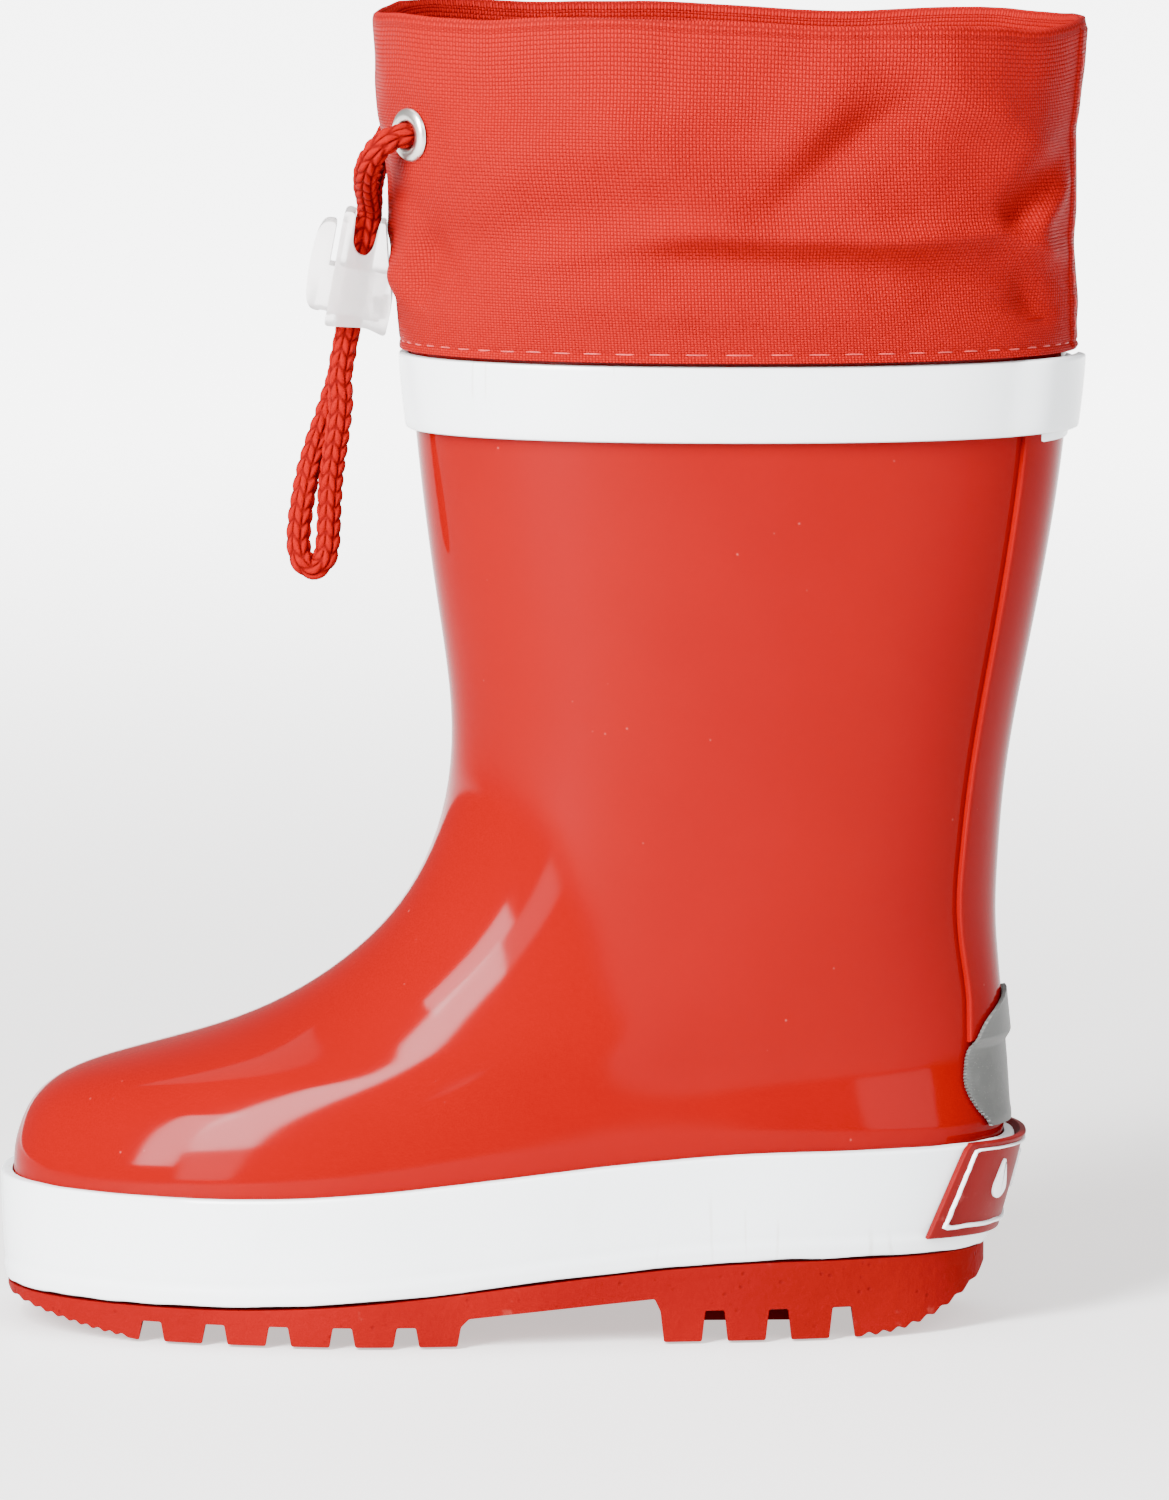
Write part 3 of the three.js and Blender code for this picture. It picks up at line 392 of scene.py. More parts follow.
class Finish:
    """A material, its Principled shader and the nodes that feed it."""

    def __init__(self, name, **constants):
        self.material = bpy.data.materials.new(name)
        self.material.use_nodes = True
        self.tree = self.material.node_tree
        self.shader = self.tree.nodes["Principled BSDF"]
        self.feed(**constants)

    def node(self, kind, settings=None, sockets=None, out=0):
        node = self.tree.nodes.new(kind)
        for key, value in (settings or {}).items():
            setattr(node, key, value)
        for key, value in (sockets or {}).items():
            self.join(node.inputs[key], value)
        return Strand(self, node.outputs[out])

    def join(self, socket, value):
        if isinstance(value, Strand):
            self.tree.links.new(value.socket, socket)
        elif isinstance(value, tuple) and len(value) == 3 and socket.type == "RGBA":
            socket.default_value = (*value, 1)
        else:
            socket.default_value = value

    def feed(self, **values):
        for key, value in values.items():
            self.join(self.shader.inputs[key.replace("_", " ")], value)

    def place(self, flat=False):
        return self.node("ShaderNodeTexCoord", out="UV" if flat else "Object")

    def split(self, vector):
        node = self.node("ShaderNodeSeparateXYZ", sockets={0: vector}).socket.node
        return [Strand(self, node.outputs[i]) for i in range(3)]

    def noise(self, scale, detail=2.0, rough=0.5, vector=None, twist=0.0):
        return self.node("ShaderNodeTexNoise", {}, {
            "Vector": vector or self.place(), "Scale": scale, "Detail": detail, "Roughness": rough,
            "Distortion": twist})

    def cells(self, scale):
        return self.node("ShaderNodeTexVoronoi", {}, {"Vector": self.place(), "Scale": scale})

    def stretched(self, scale, turn=(0, 0, 0)):
        return self.node("ShaderNodeMapping", {}, {"Vector": self.place(), "Scale": scale, "Rotation": turn})

    def blend(self, share, a, b):
        return self.node("ShaderNodeMix", {"data_type": "RGBA"}, {0: share, 6: a, 7: b}, out=2)

    def relief(self, height, distance, strength=1.0, below=None):
        sockets = {"Height": height, "Distance": distance * MM, "Strength": strength}
        if below:
            sockets["Normal"] = below
        return self.node("ShaderNodeBump", {}, sockets)

    def scratches(self, scale, density):
        """Thin broken lines, from stretched noise."""
        long = self.noise(scale, 1, 0.5, self.stretched((1, 1, 0.16), (0.5, 0.7, 0.3)), 0.4)
        line = 1 - ((long - 0.5).size() * 90)
        patches = self.noise(28, 2)
        return line.cut(0, 0.8) * patches.cut(density, density + 0.06)


def red_rubber(name, base, deep):
    f = Finish(name, Specular_IOR_Level=0.0, Coat_Weight=0.52, Coat_Roughness=0.09, Coat_IOR=1.22)
    tone = f.noise(22, 3)
    dust = f.cells(260).cut(0.0, 0.09)
    fleck = 1 - dust
    sparse = f.noise(60, 1).cut(0.56, 0.62)
    speck = fleck * sparse
    colour = f.blend(tone.cut(0.3, 0.75) * 0.55, base, deep)
    colour = f.blend(speck * 0.3, colour, (0.5, 0.14, 0.12))
    waviness = f.relief(f.noise(13, 1, 0.4), 1.1)
    ripple = f.relief(f.noise(95, 2, 0.5), 0.05, 1.0, waviness)
    pimple = f.relief(speck, 0.06, 1.0, ripple)
    scuff = f.scratches(70, 0.58)
    f.feed(Base_Color=colour, Roughness=0.16 + tone * 0.1 + scuff * 0.25, Normal=pimple)
    return f.material


def white_rubber():
    f = Finish("white_rubber", Roughness=0.35, Coat_Weight=0.5, Coat_Roughness=0.18, IOR=1.5)
    tone = f.noise(16, 3)
    mark = f.scratches(60, 0.6)
    smudge = f.noise(34, 4, 0.6, None, 0.8).cut(0.62, 0.74)
    colour = f.blend(tone.cut(0.35, 0.7), (0.8, 0.83, 0.85), (0.74, 0.78, 0.805))
    colour = f.blend(mark * 0.35 + smudge * 0.07, colour, (0.42, 0.40, 0.36))
    wave = f.relief(f.noise(30, 2), 0.35)
    fine = f.relief(f.noise(500, 2), 0.02, 1.0, wave)
    f.feed(Base_Color=colour, Roughness=0.3 + tone * 0.12 + mark * 0.2, Normal=fine)
    return f.material


def outsole_rubber():
    f = Finish("outsole_rubber", Roughness=0.62, Specular_IOR_Level=0.03)
    grain = f.noise(420, 3, 0.6)
    pit = 1 - f.cells(520).cut(0.0, 0.28)
    spots = pit * f.noise(140, 2).cut(0.45, 0.6)
    tone = f.noise(30, 3)
    colour = f.blend(tone.cut(0.3, 0.7), (0.16, 0.0015, 0.0015), (0.13, 0.001, 0.001))
    # Painted shade in the pits: the sunken spots are darker.
    colour = f.blend(spots * 0.7, colour, (0.08, 0.0015, 0.0015))
    colour = f.blend(f.noise(260, 3).cut(0.66, 0.75) * 0.15, colour, (0.36, 0.08, 0.06))
    rough = f.relief(grain, 0.2)
    f.feed(Base_Color=colour, Roughness=0.5 + grain * 0.25, Normal=f.relief(1 - spots, 0.12, 1.0, rough))
    return f.material


def label_rubber():
    f = Finish("label_rubber", Roughness=0.4, Specular_IOR_Level=0.1)
    tone = f.noise(90, 3)
    wear = f.noise(240, 4, 0.65).cut(0.62, 0.78)
    colour = f.blend(tone.cut(0.3, 0.7), (0.14, 0.0015, 0.0015), (0.12, 0.001, 0.001))
    f.feed(Base_Color=f.blend(wear * 0.2, colour, (0.5, 0.09, 0.08)), Roughness=0.36 + tone * 0.16,
           Normal=f.relief(f.noise(700, 2), 0.03))
    return f.material


def reflective_tape():
    f = Finish("reflective_tape", Roughness=0.5, IOR=1.5)
    beads = f.cells(4200)
    glint = 1 - f.cells(2300).cut(0.02, 0.16)
    worn = f.noise(110, 4, 0.6).cut(0.52, 0.66)
    tone = f.noise(24, 3)
    colour = f.blend(tone.cut(0.3, 0.7), (0.085, 0.088, 0.085), (0.068, 0.071, 0.068))
    colour = f.blend(glint * worn, colour, (0.4, 0.38, 0.34))
    f.feed(Base_Color=colour, Roughness=0.42 + tone * 0.15, Metallic=0.25 + worn * 0.2,
           Normal=f.relief(beads, 0.02, 1.0, f.relief(f.noise(150, 3), 0.12)))
    return f.material


WEAVE = 0.58  # pitch of the cloth's yarns


def nylon_cloth():
    f = Finish("nylon_cloth", Roughness=0.55, Specular_IOR_Level=0.06, IOR=1.45, Sheen_Weight=0.01,
               Sheen_Roughness=0.4, Sheen_Tint=(1.0, 0.45, 0.4))
    across, up, _ = f.split(f.place(flat=True))
    wobble = f.noise(140, 2, 0.5, f.place(flat=True)) * 0.25
    warp = across / (WEAVE * MM) + wobble
    weft = up / (WEAVE * MM) + wobble
    # A two-by-two basket: yarns lie over on alternate squares.
    over_up = (warp * math.pi).wave() * (weft * math.pi).wave()
    over = over_up.cut(-0.25, 0.25)
    warp_yarn = 1 - ((warp.fraction() - 0.5).size() * 2) ** 2
    weft_yarn = 1 - ((weft.fraction() - 0.5).size() * 2) ** 2
    crown = over * warp_yarn * weft_yarn ** 0.35 + (1 - over) * weft_yarn * warp_yarn ** 0.35
    fibres = f.noise(2600, 2, 0.6, f.place(flat=True))
    tone = f.noise(18, 3)
    # Painted shade and highlight: the colour is darker between the yarns and lighter on their crowns, most on the
    # yarns that lie over.
    colour = f.blend(crown.cut(0.1, 0.85), (0.135, 0.0001, 0.0001), (0.24, 0.0003, 0.0003))
    colour = f.blend(over * crown * 0.28, colour, (0.32, 0.008, 0.007))
    colour = f.blend(tone.cut(0.35, 0.7) * 0.25, colour, (0.19, 0.0003, 0.0003))
    bump = f.relief(crown, 0.16, 1.0, f.relief(f.noise(45, 3), 0.5))
    f.feed(Base_Color=colour, Roughness=0.62 - crown * 0.2 + fibres * 0.12, Normal=f.relief(fibres, 0.02, 1.0, bump))
    return f.material


def braided_cord():
    f = Finish("braided_cord", Roughness=0.75, Specular_IOR_Level=0.05, IOR=1.45, Sheen_Weight=0.02,
               Sheen_Roughness=0.45, Sheen_Tint=(1.0, 0.4, 0.35))
    fine = f.noise(1500, 3, 0.65, f.place(flat=True))
    height = f.node("ShaderNodeAttribute", {"attribute_name": "crown"}, out="Fac")
    tone = f.noise(120, 2)
    # Painted shade: darker where the plait is low between its strands and lighter on the strand crowns.
    colour = f.blend(height.cut(0.1, 0.75), (0.085, 0.0002, 0.0002), (0.2, 0.0003, 0.0003))
    colour = f.blend(fine.cut(0.5, 0.75) * 0.4, colour, (0.3, 0.003, 0.002))
    colour = f.blend(tone.cut(0.4, 0.7) * 0.2, colour, (0.19, 0.0003, 0.0003))
    f.feed(Base_Color=colour, Roughness=0.66 + fine * 0.25, Normal=f.relief(fine, 0.1))
    return f.material


def thread():
    f = Finish("sewing_thread", Roughness=0.5, Sheen_Weight=0.2, IOR=1.45)
    twist = f.noise(900, 2, 0.5)
    f.feed(Base_Color=f.blend(twist.cut(0.35, 0.7), (0.3, 0.004, 0.003), (0.46, 0.012, 0.01)),
           Normal=f.relief(twist, 0.06))
    return f.material


def nickel():
    f = Finish("nickel", Metallic=1.0, Roughness=0.3)
    tone = f.noise(180, 3)
    brushed = f.noise(900, 2, 0.5, f.stretched((1, 1, 0.2)))
    f.feed(Base_Color=f.blend(tone.cut(0.3, 0.7), (0.78, 0.75, 0.70), (0.66, 0.64, 0.6)),
           Roughness=0.24 + tone * 0.14, Normal=f.relief(brushed, 0.012))
    return f.material


def milky_plastic():
    f = Finish("milky_plastic", Roughness=0.3, Transmission_Weight=0.8, IOR=1.36)
    haze = f.noise(160, 3)
    f.feed(Base_Color=f.blend(haze.cut(0.3, 0.7), (1.0, 0.97, 0.965), (0.97, 0.93, 0.925)),
           Roughness=0.26 + haze * 0.12, Normal=f.relief(f.noise(330, 2), 0.05))
    return f.material


def steel():
    f = Finish("spring_steel", Metallic=1.0, Roughness=0.25)
    tone = f.noise(600, 2)
    f.feed(Base_Color=f.blend(tone, (0.55, 0.55, 0.56), (0.42, 0.42, 0.43)), Roughness=0.2 + tone * 0.15)
    return f.material


def knit_lining():
    f = Finish("knit_lining", Roughness=0.9, Sheen_Weight=0.3)
    x, y, z = f.split(f.place())
    course = (z * (TAU / (1.1 * MM))).wave() * 0.5 + 0.5
    wale = ((x + y) * (TAU / (1.3 * MM))).wave() * 0.5 + 0.5
    loop = course * wale
    fuzz = f.noise(1400, 3)
    # Painted shade: lighter on the knit loops and darker between them; the fuzz mixed in is random tone.
    f.feed(Base_Color=f.blend(loop * 0.6 + fuzz * 0.4, (0.18, 0.19, 0.2), (0.36, 0.37, 0.38)),
           Roughness=0.82 + fuzz * 0.15, Normal=f.relief(loop, 0.2, 1.0, f.relief(fuzz, 0.1)))
    return f.material


def foam():
    f = Finish("foam", Roughness=0.9)
    pores = f.cells(1500)
    # Painted shade: darker in the pores, which the bump sinks.
    f.feed(Base_Color=f.blend(pores.cut(0.0, 0.5), (0.06, 0.065, 0.07), (0.14, 0.15, 0.16)),
           Roughness=0.85 + pores * 0.1, Normal=f.relief(pores, 0.15))
    return f.material


def stiff_board():
    f = Finish("stiff_board", Roughness=0.85)
    fibre = f.noise(300, 4, 0.6, f.stretched((1, 0.2, 1)))
    f.feed(Base_Color=f.blend(fibre.cut(0.3, 0.7), (0.43, 0.3, 0.14), (0.55, 0.41, 0.22)),
           Roughness=0.78 + fibre * 0.15, Normal=f.relief(fibre, 0.1))
    return f.material


RED = red_rubber("red_rubber", (0.168, 0.0, 0.0002), (0.145, 0.0, 0.0002))
WHITE, OUTSOLE_RED, LABEL_RED, TAPE = white_rubber(), outsole_rubber(), label_rubber(), reflective_tape()
NYLON, BRAID, THREAD, NICKEL, MILKY = nylon_cloth(), braided_cord(), thread(), nickel(), milky_plastic()
STEEL, KNIT, FOAM, BOARD = steel(), knit_lining(), foam(), stiff_board()

# ---- Draw cord -------------------------------------------------------------------------------------

CORD, CORD_SIDES, CORD_STEP = 4.1, 48, 0.26
EYELET_LEVEL, EYELET_ANGLE = 4.1, 0.44
LOCK_AT, LOCK_TILT = Vector((-32, 0, 184.5)), math.radians(10.5)
SLOT_X, STRAND_SPACING = -0.3, 4.6
LOCK_PLACE = Matrix.Translation(LOCK_AT * MM) @ Matrix.Rotation(LOCK_TILT, 4, "Y")


def eyelet_way(angle):
    return [CUFF.at(EYELET_LEVEL, angle, offset) / MM for offset in (-4.9, -2, 0.6)]


def lock_way(height, side):
    return LOCK_PLACE @ (Vector((SLOT_X, side * STRAND_SPACING / 2, height)) * MM) / MM


LOCK_ENDS = (10.4, 4, -4, -10.5, -18.5)
NEAR_STRAND = [(-26, -17.4, 208.6), (-28.2, -17.8, 207.2), (-29.8, -16.5, 205.1), (-30.7, -13.5, 202.3),
               (-30.8, -9.2, 199.6), (-30.5, -4.9, 197.2)]
NEAR_TAIL = [(-35.4, -2.2, 162.5), (-35.8, -1.9, 158), (-36.5, -1.4, 153.5), (-37.1, -0.8, 149),
             (-37.5, -0.4, 144.5), (-37.7, -0.1, 140), (-37.9, 0, 136.6)]
LOOP_BOTTOM = [(-38.7, 0, 133.6), (-40.5, 0, 132.3), (-42.3, 0, 133.7)]
FAR_TAIL = [(-43, 0, 136.8), (-42.8, 0.1, 140.2), (-42.2, 0.3, 144.5), (-41.3, 0.8, 149), (-40, 1.4, 153.5),
            (-38.4, 1.9, 158), (-36.9, 2.2, 162.5)]
FAR_STRAND = [(-30.4, 4.9, 197.2), (-30.1, 9.2, 199.4), (-29.5, 13, 201.9), (-28.7, 16, 204.7), (-27.4, 17.7, 207),
              (-25.8, 17.4, 208.5)]
CORD_POINTS = [
    Vector(p) for p in (
        *eyelet_way(math.pi + EYELET_ANGLE), *NEAR_STRAND, *(lock_way(h, -1) for h in LOCK_ENDS), *NEAR_TAIL,
        *LOOP_BOTTOM, *FAR_TAIL, *(lock_way(h, 1) for h in reversed(LOCK_ENDS)), *FAR_STRAND,
        *reversed(eyelet_way(math.pi - EYELET_ANGLE)))
]


def even_route(points, spacing):
    """The points of a centripetal curve through points, a spacing apart."""
    fine = []
    for i in range(len(points) - 1):
        b, c = points[i], points[i + 1]
        a = points[i - 1] if i else 2 * b - c
        d = points[i + 2] if i + 2 < len(points) else 2 * c - b
        ta = 0.0
        tb = ta + (b - a).length ** 0.5
        tc = tb + (c - b).length ** 0.5
        td = tc + (d - c).length ** 0.5
        for t in spaced(tb, tc, 12)[: None if i == len(points) - 2 else -1]:
            ab, bc, cd = mix(a, b, t / tb), mix(b, c, (t - tb) / (tc - tb)), mix(c, d, (t - tc) / (td - tc))
            fine.append(mix(mix(ab, bc, t / tc), mix(bc, cd, (t - tb) / (td - tb)), (t - tb) / (tc - tb)))
    lengths = [0.0]
    for p, q in zip(fine, fine[1:]):
        lengths.append(lengths[-1] + (q - p).length)
    count = round(lengths[-1] / spacing)
    route, i = [], 0
    for k in range(count + 1):
        want = lengths[-1] * k / count
        while i < len(fine) - 2 and lengths[i + 1] < want:
            i += 1
        route.append(mix(fine[i], fine[i + 1], clamp((want - lengths[i]) / max(1e-9, lengths[i + 1] - lengths[i]))))
    return route, lengths[-1]


def carried_frames(route):
    """A side and an up direction at each point, carried along without twist."""
    up, frames = Vector((0, 1, 0)), []
    for i in range(len(route)):
        ahead = (route[min(i + 1, len(route) - 1)] - route[max(i - 1, 0)]).normalized()
        side = ahead.cross(up).normalized()
        up = side.cross(ahead).normalized()
        frames.append((side, up))
    return frames


BRAID_COLUMNS, BRAID_PITCH = 8, 2.7


def plait(turn, length):
    """Height of the plait, 0 between its strands and 1 on their crowns: slanting strands in columns of Vs."""
    column = turn * BRAID_COLUMNS
    lean = 1 if int(math.floor(column)) % 2 else -1
    inside = column - math.floor(column)
    along = (length / BRAID_PITCH + lean * (inside - 0.5) * 0.62) % 1.0
    return (1 - abs(2 * along - 1) ** 2.4) * (1 - abs(2 * inside - 1) ** 3) ** 0.8


def make_cord():
    sides = CORD_SIDES
    route, length = even_route(CORD_POINTS, CORD_STEP)
    frames = carried_frames(route)
    count = len(route) - 1

    def place(share, turn):
        i = round(share * count)
        side, up = frames[i]
        radius = CORD / 2 - 0.32 + 0.5 * plait(turn, share * length)
        radius += 0.12 * noise.noise(Vector((share * length * 0.35, turn * 3, 4)))
        return (route[i] + radius * (math.cos(turn * TAU) * side + math.sin(turn * TAU) * up)) * MM

    bm = sweep([i / sides for i in range(sides)], count, place, False,
               lambda share, i: (share * length * MM, i / sides * CORD * math.pi * MM))
    crown = bm.verts.layers.float.new("crown")
    entry, step = bm.verts.layers.int["entry"], bm.verts.layers.int["step"]
    for vert in bm.verts:
        vert[crown] = plait(vert[entry] / sides, vert[step] / count * length)
    cord = finish_mesh("draw_cord", bm, BRAID, 80)
    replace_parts(cord, "drawcord_loop")
    tuple(route[0] * MM)
    length * MM
    [tuple(p * MM) for p in route[:-3:4] + [route[-1]]]


# ---- Cord lock -------------------------------------------------------------------------------------

SLOT_HALF_X, SLOT_HALF_Y = CORD / 2 + GAP, STRAND_SPACING / 2 + CORD / 2 + GAP
PLUNGER_HALF_Y = SLOT_HALF_Y + 1
BORE_HALF_Y = PLUNGER_HALF_Y + GAP
LOCK_HALF_Y = BORE_HALF_Y + 1
BUTTON_TRAVEL, LOCK_LEFT = 1.6, -4.5
BAR_END = SLOT_X + SLOT_HALF_X + 0.7


def block(x0, x1, y, z0, z1):
    return prism([(x0, z0), (x1, z0), (x1, z1), (x0, z1)], y)


def carve(name, bm, cutters, join=()):
    """The solid, with other solids joined to it and cutters taken out of it."""
    body = bpy.data.objects.new(name, bpy.data.meshes.new(name))
    bm.to_mesh(body.data)
    bm.free()
    bpy.context.scene.collection.objects.link(body)
    tools = []
    for operation, solids in (("UNION", join), ("DIFFERENCE", cutters)):
        for solid in solids:
            tool = bpy.data.objects.new("tool", bpy.data.meshes.new("tool"))
            solid.to_mesh(tool.data)
            solid.free()
            bpy.context.scene.collection.objects.link(tool)
            cut = body.modifiers.new("cut", "BOOLEAN")
            cut.operation, cut.object, cut.solver = operation, tool, "EXACT"
            tools.append(tool)
    bpy.context.view_layer.update()
    result = bpy.data.meshes.new_from_object(body.evaluated_get(bpy.context.evaluated_depsgraph_get()))
    carved = bmesh.new()
    carved.from_mesh(result)
    for item in [body, *tools]:
        bpy.data.objects.remove(item)
    bmesh.ops.remove_doubles(carved, verts=carved.verts, dist=1e-6)
    return carved


def rounded(points, radius, count=4):
    """A profile with each corner rounded."""
    out = []
    for i, here in enumerate(points):
        before, after = Vector(points[i - 1]), Vector(points[(i + 1) % len(points)])
        corner = Vector(here)
        back, ahead = before - corner, after - corner
        cut = min(radius, back.length * 0.45, ahead.length * 0.45)
        start, end = corner + back.normalized() * cut, corner + ahead.normalized() * cut
        for t in spaced(0, 1, count):
            out.append(tuple(mix(mix(start, corner, t), mix(corner, end, t), t)))
    return out


def make_lock():
    half_notch = SLOT_HALF_X - 0.15
    profile = [
        (LOCK_LEFT, -10.2), (SLOT_X + 3, -9.2), (6.3, -10.2), (6.4, -6.2), (6.3, -3.6), (5.3, 0), (4.1, 4.2),
        (2.9, 9.2), (SLOT_X + half_notch, 9.2), (SLOT_X + half_notch - 0.4, 4.5), (SLOT_X + 0.8, 2.9),
        (SLOT_X - 0.8, 3.2), (SLOT_X - half_notch + 0.4, 4.7), (SLOT_X - half_notch, 10.2), (LOCK_LEFT, 10.2),
    ]
    body = carve("barrel", prism(rounded(profile, 0.9), LOCK_HALF_Y, 0.28), [
        block(SLOT_X - SLOT_HALF_X, SLOT_X + SLOT_HALF_X, SLOT_HALF_Y, -20, 20),
        block(LOCK_LEFT - 1, BAR_END + BUTTON_TRAVEL + GAP, BORE_HALF_Y, -7.9, 0.6),
        block(LOCK_LEFT - 1, LOCK_LEFT + 0.9, BORE_HALF_Y, -8.2, 8.2),
        block(BAR_END, 5.6, 2, -7.4, -3.4),
    ])
    bmesh.ops.transform(body, matrix=LOCK_PLACE, verts=body.verts)
    body = finish_mesh("cord_lock", body, MILKY, 35, "lock")
    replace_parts(body, "cord_lock_body")

    head = LOCK_LEFT + 0.9 - BUTTON_TRAVEL - GAP
    face = [(head, -7.9), (head, 7.9), (-7.6, 7.7), (-8.5, 5.9), (-8.8, 3), (-8.9, 0), (-8.8, -3), (-8.5, -5.9),
            (-7.6, -7.7)]
    button = carve("button", prism(rounded(face, 0.9), PLUNGER_HALF_Y, 0.45), [
        block(SLOT_X - SLOT_HALF_X - BUTTON_TRAVEL, SLOT_X + SLOT_HALF_X, SLOT_HALF_Y, -20, 20),
    ], [block(head - 1, BAR_END, PLUNGER_HALF_Y, -7.6, 0.3)])
    bmesh.ops.transform(button, matrix=LOCK_PLACE, verts=button.verts)
    button = finish_mesh("cord_lock_press", button, MILKY, 35, "button")
    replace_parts(button, "cord_lock_button")


SPRING_TURNS, SPRING_RADIUS, SPRING_WIRE, SPRING_Z, SPRING_STOP = 2.25, 1.7, 0.35, -5.4, 5.6 - GAP


def make_spring():
    """The coil between the plunger's bar and the barrel's back wall."""
    start = BAR_END + GAP
    length = SPRING_STOP - start

    def place(share, turn):
        angle = share * SPRING_TURNS * TAU
        out = Vector((0, math.cos(angle), math.sin(angle)))
        along = mix(start + SPRING_WIRE / 2, SPRING_STOP - SPRING_WIRE / 2, share)
        middle = Vector((along, 0, SPRING_Z)) + (SPRING_RADIUS - SPRING_WIRE / 2) * out
        wire = SPRING_WIRE / 2 * (math.cos(turn) * out + math.sin(turn) * Vector((1, 0, 0)))
        return LOCK_PLACE @ ((middle + wire) * MM)

    bm = sweep([i / 10 * TAU for i in range(10)], 90, place, False)
    spring = finish_mesh("lock_spring", bm, STEEL, 80, "lock")
    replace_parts(spring, "cord_lock_spring")
    (length - BUTTON_TRAVEL) / length
    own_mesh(spring)


make_lock()
make_spring()
make_cord()

# ---- Upper, lining and white rubber ----------------------------------------------------------------


def sleeve(form, path, around, lay=None):
    """A closed wall on the form. path is a ring of levels and offsets, each a number or a function."""
    def place(share, item):
        level, offset = item
        angle = share * TAU
        level = number(level, angle)
        return form.at(level, angle, number(offset, level, angle))
    return sweep(path, around, place, True, lay)


def wall_path(low, high, step, outer, inner, edge=0.4):
    """Up the outer face, over a rounded edge and down the inner face."""
    count = max(2, round((high - low) / step))
    tip = edge / MM_PER_LEVEL
    out = [(level, outer) for level in spaced(low + tip, high - tip, count)]
    back = [(level, inner) for level in reversed(spaced(low, high, count))]
    top = [(high - tip * 0.3, outer - edge * 0.3), (high, outer - edge)]
    bottom = [(low, outer - edge), (low + tip * 0.3, outer - edge * 0.3)]
    return bottom + out + top + back


UPPER_WALL = 1.4


def make_upper():
    path = wall_path(0, TOP_LEVEL, 0.2, 0.0, -UPPER_WALL)
    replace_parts(finish_mesh("boot_upper", sleeve(BOOT, path, 168), RED), "upper")


def make_lining():
    low = 4.5 / FOXING_HEIGHT

    def outer(level, angle):
        return mix(-5.0 + 1.1, -1.7, ease(level, 6, 8.5))
    levels = spaced(low, TOP_LEVEL, 50)
    path = [(level, outer) for level in levels]
    path += [(level, lambda level, angle: outer(level, angle) - 0.8) for level in reversed(levels)]
    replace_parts(finish_mesh("boot_lining", sleeve(BOOT, path, 120), KNIT), "lining")


FOXING_OUTER = 2.2


def make_foxing():
    def face(level, angle):
        ridge = 0.16 * hill(level - 0.13, 0.03) - 0.14 * hill(level - 0.2, 0.03)
        soft = 0.12 * noise.noise(Vector((math.cos(angle) * 4, math.sin(angle) * 4, level * 1.5)))
        return FOXING_OUTER + ridge + soft

    def low(angle):
        return 0.012 + 0.012 * noise.noise(Vector((math.cos(angle) * 9, math.sin(angle) * 9, 2)))

    def high(angle):
        return 1 + 0.008 * noise.noise(Vector((math.cos(angle) * 7, math.sin(angle) * 7, 8)))
    path = [(low, GAP), (low, 1.5), (lambda a: low(a) + 0.005, 1.9), (lambda a: low(a) + 0.02, 2.12)]
    path += [(level, face) for level in spaced(0.06, 0.95, 26)]
    path += [(lambda a: high(a) - 0.022, 2.16), (lambda a: high(a) - 0.006, 1.98), (high, 1.6), (high, GAP)]
    path += [(level, GAP) for level in (0.75, 0.5, 0.25)]
    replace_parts(finish_mesh("foxing", sleeve(BOOT, path, 200), WHITE), "foxing_band")


BAND_LAP, BAND_START, BAND_WALL = 0.34, -0.42, 1.5
BAND_BOTTOM = SHAFT_LEVEL - 12.2 / MM_PER_LEVEL


def make_band():
    turn = TAU + BAND_LAP
    across = [-1, -0.97, -0.9, *spaced(-0.8, 0.8, 10), 0.9, 0.97, 1]
    section = [(t, 1 - (0.34 if abs(t) == 1 else 0.1 if abs(t) == 0.97 else 0.0)) for t in across]
    section += [(t, 0.0) for t in (1, 0.5, 0, -0.5, -1)]

    def place(share, item):
        t, out = item
        angle = BAND_START + share * turn
        # The last third of a radian climbs over the strip's own start, which sits a little lower.
        climb = ease(share * turn, TAU - BAND_LAP * 0.75, TAU - 0.02)
        drop = -1.15 * (1 - ease(share * turn, 0.35, 1.6)) + 0.35 * climb
        start = 1 - 0.45 * (1 - ease(share * turn, 0, 0.02))
        end = 1 - 0.45 * ease(share * turn, turn - 0.02, turn)
        level = mix(BAND_BOTTOM, SHAFT_LEVEL, (t + 1) / 2) + drop / MM_PER_LEVEL
        bulge = 0.1 * (1 - t * t) + 0.1 * noise.noise(Vector((angle * 2.2, t * 0.7, 5)))
        return BOOT.at(level, angle, GAP + climb * (BAND_WALL + 0.25) + out * (BAND_WALL * start * end + bulge))
    bm = sweep(section, 260, place, False)
    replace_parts(finish_mesh("shaft_band", bm, WHITE), "top_band")


make_upper()
make_lining()
make_foxing()
make_band()

# ---- Heel pieces -----------------------------------------------------------------------------------

PATCH_BOTTOM, PATCH_TOP = 1.25, 6.1


def make_stay():
    low, high = 4.8, BAND_BOTTOM + 0.12

    def place(u, v):
        level = mix(low, high, (v + 1) / 2)
        return level, u * (0.43 + 0.1 * ease(level, 6, 9))
    bm = patch(BOOT, 30, 90, place, 0.12, 1.2, 0.42, 4)
    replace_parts(finish_mesh("stay", bm, RED), "back_stay")


PATCH_EDGE = [(half,) for half in (0.33, 0.4, 0.445, 0.465, 0.46, 0.445, 0.4, 0.31, 0.08)]  # half widths, upward
KNURL = 110


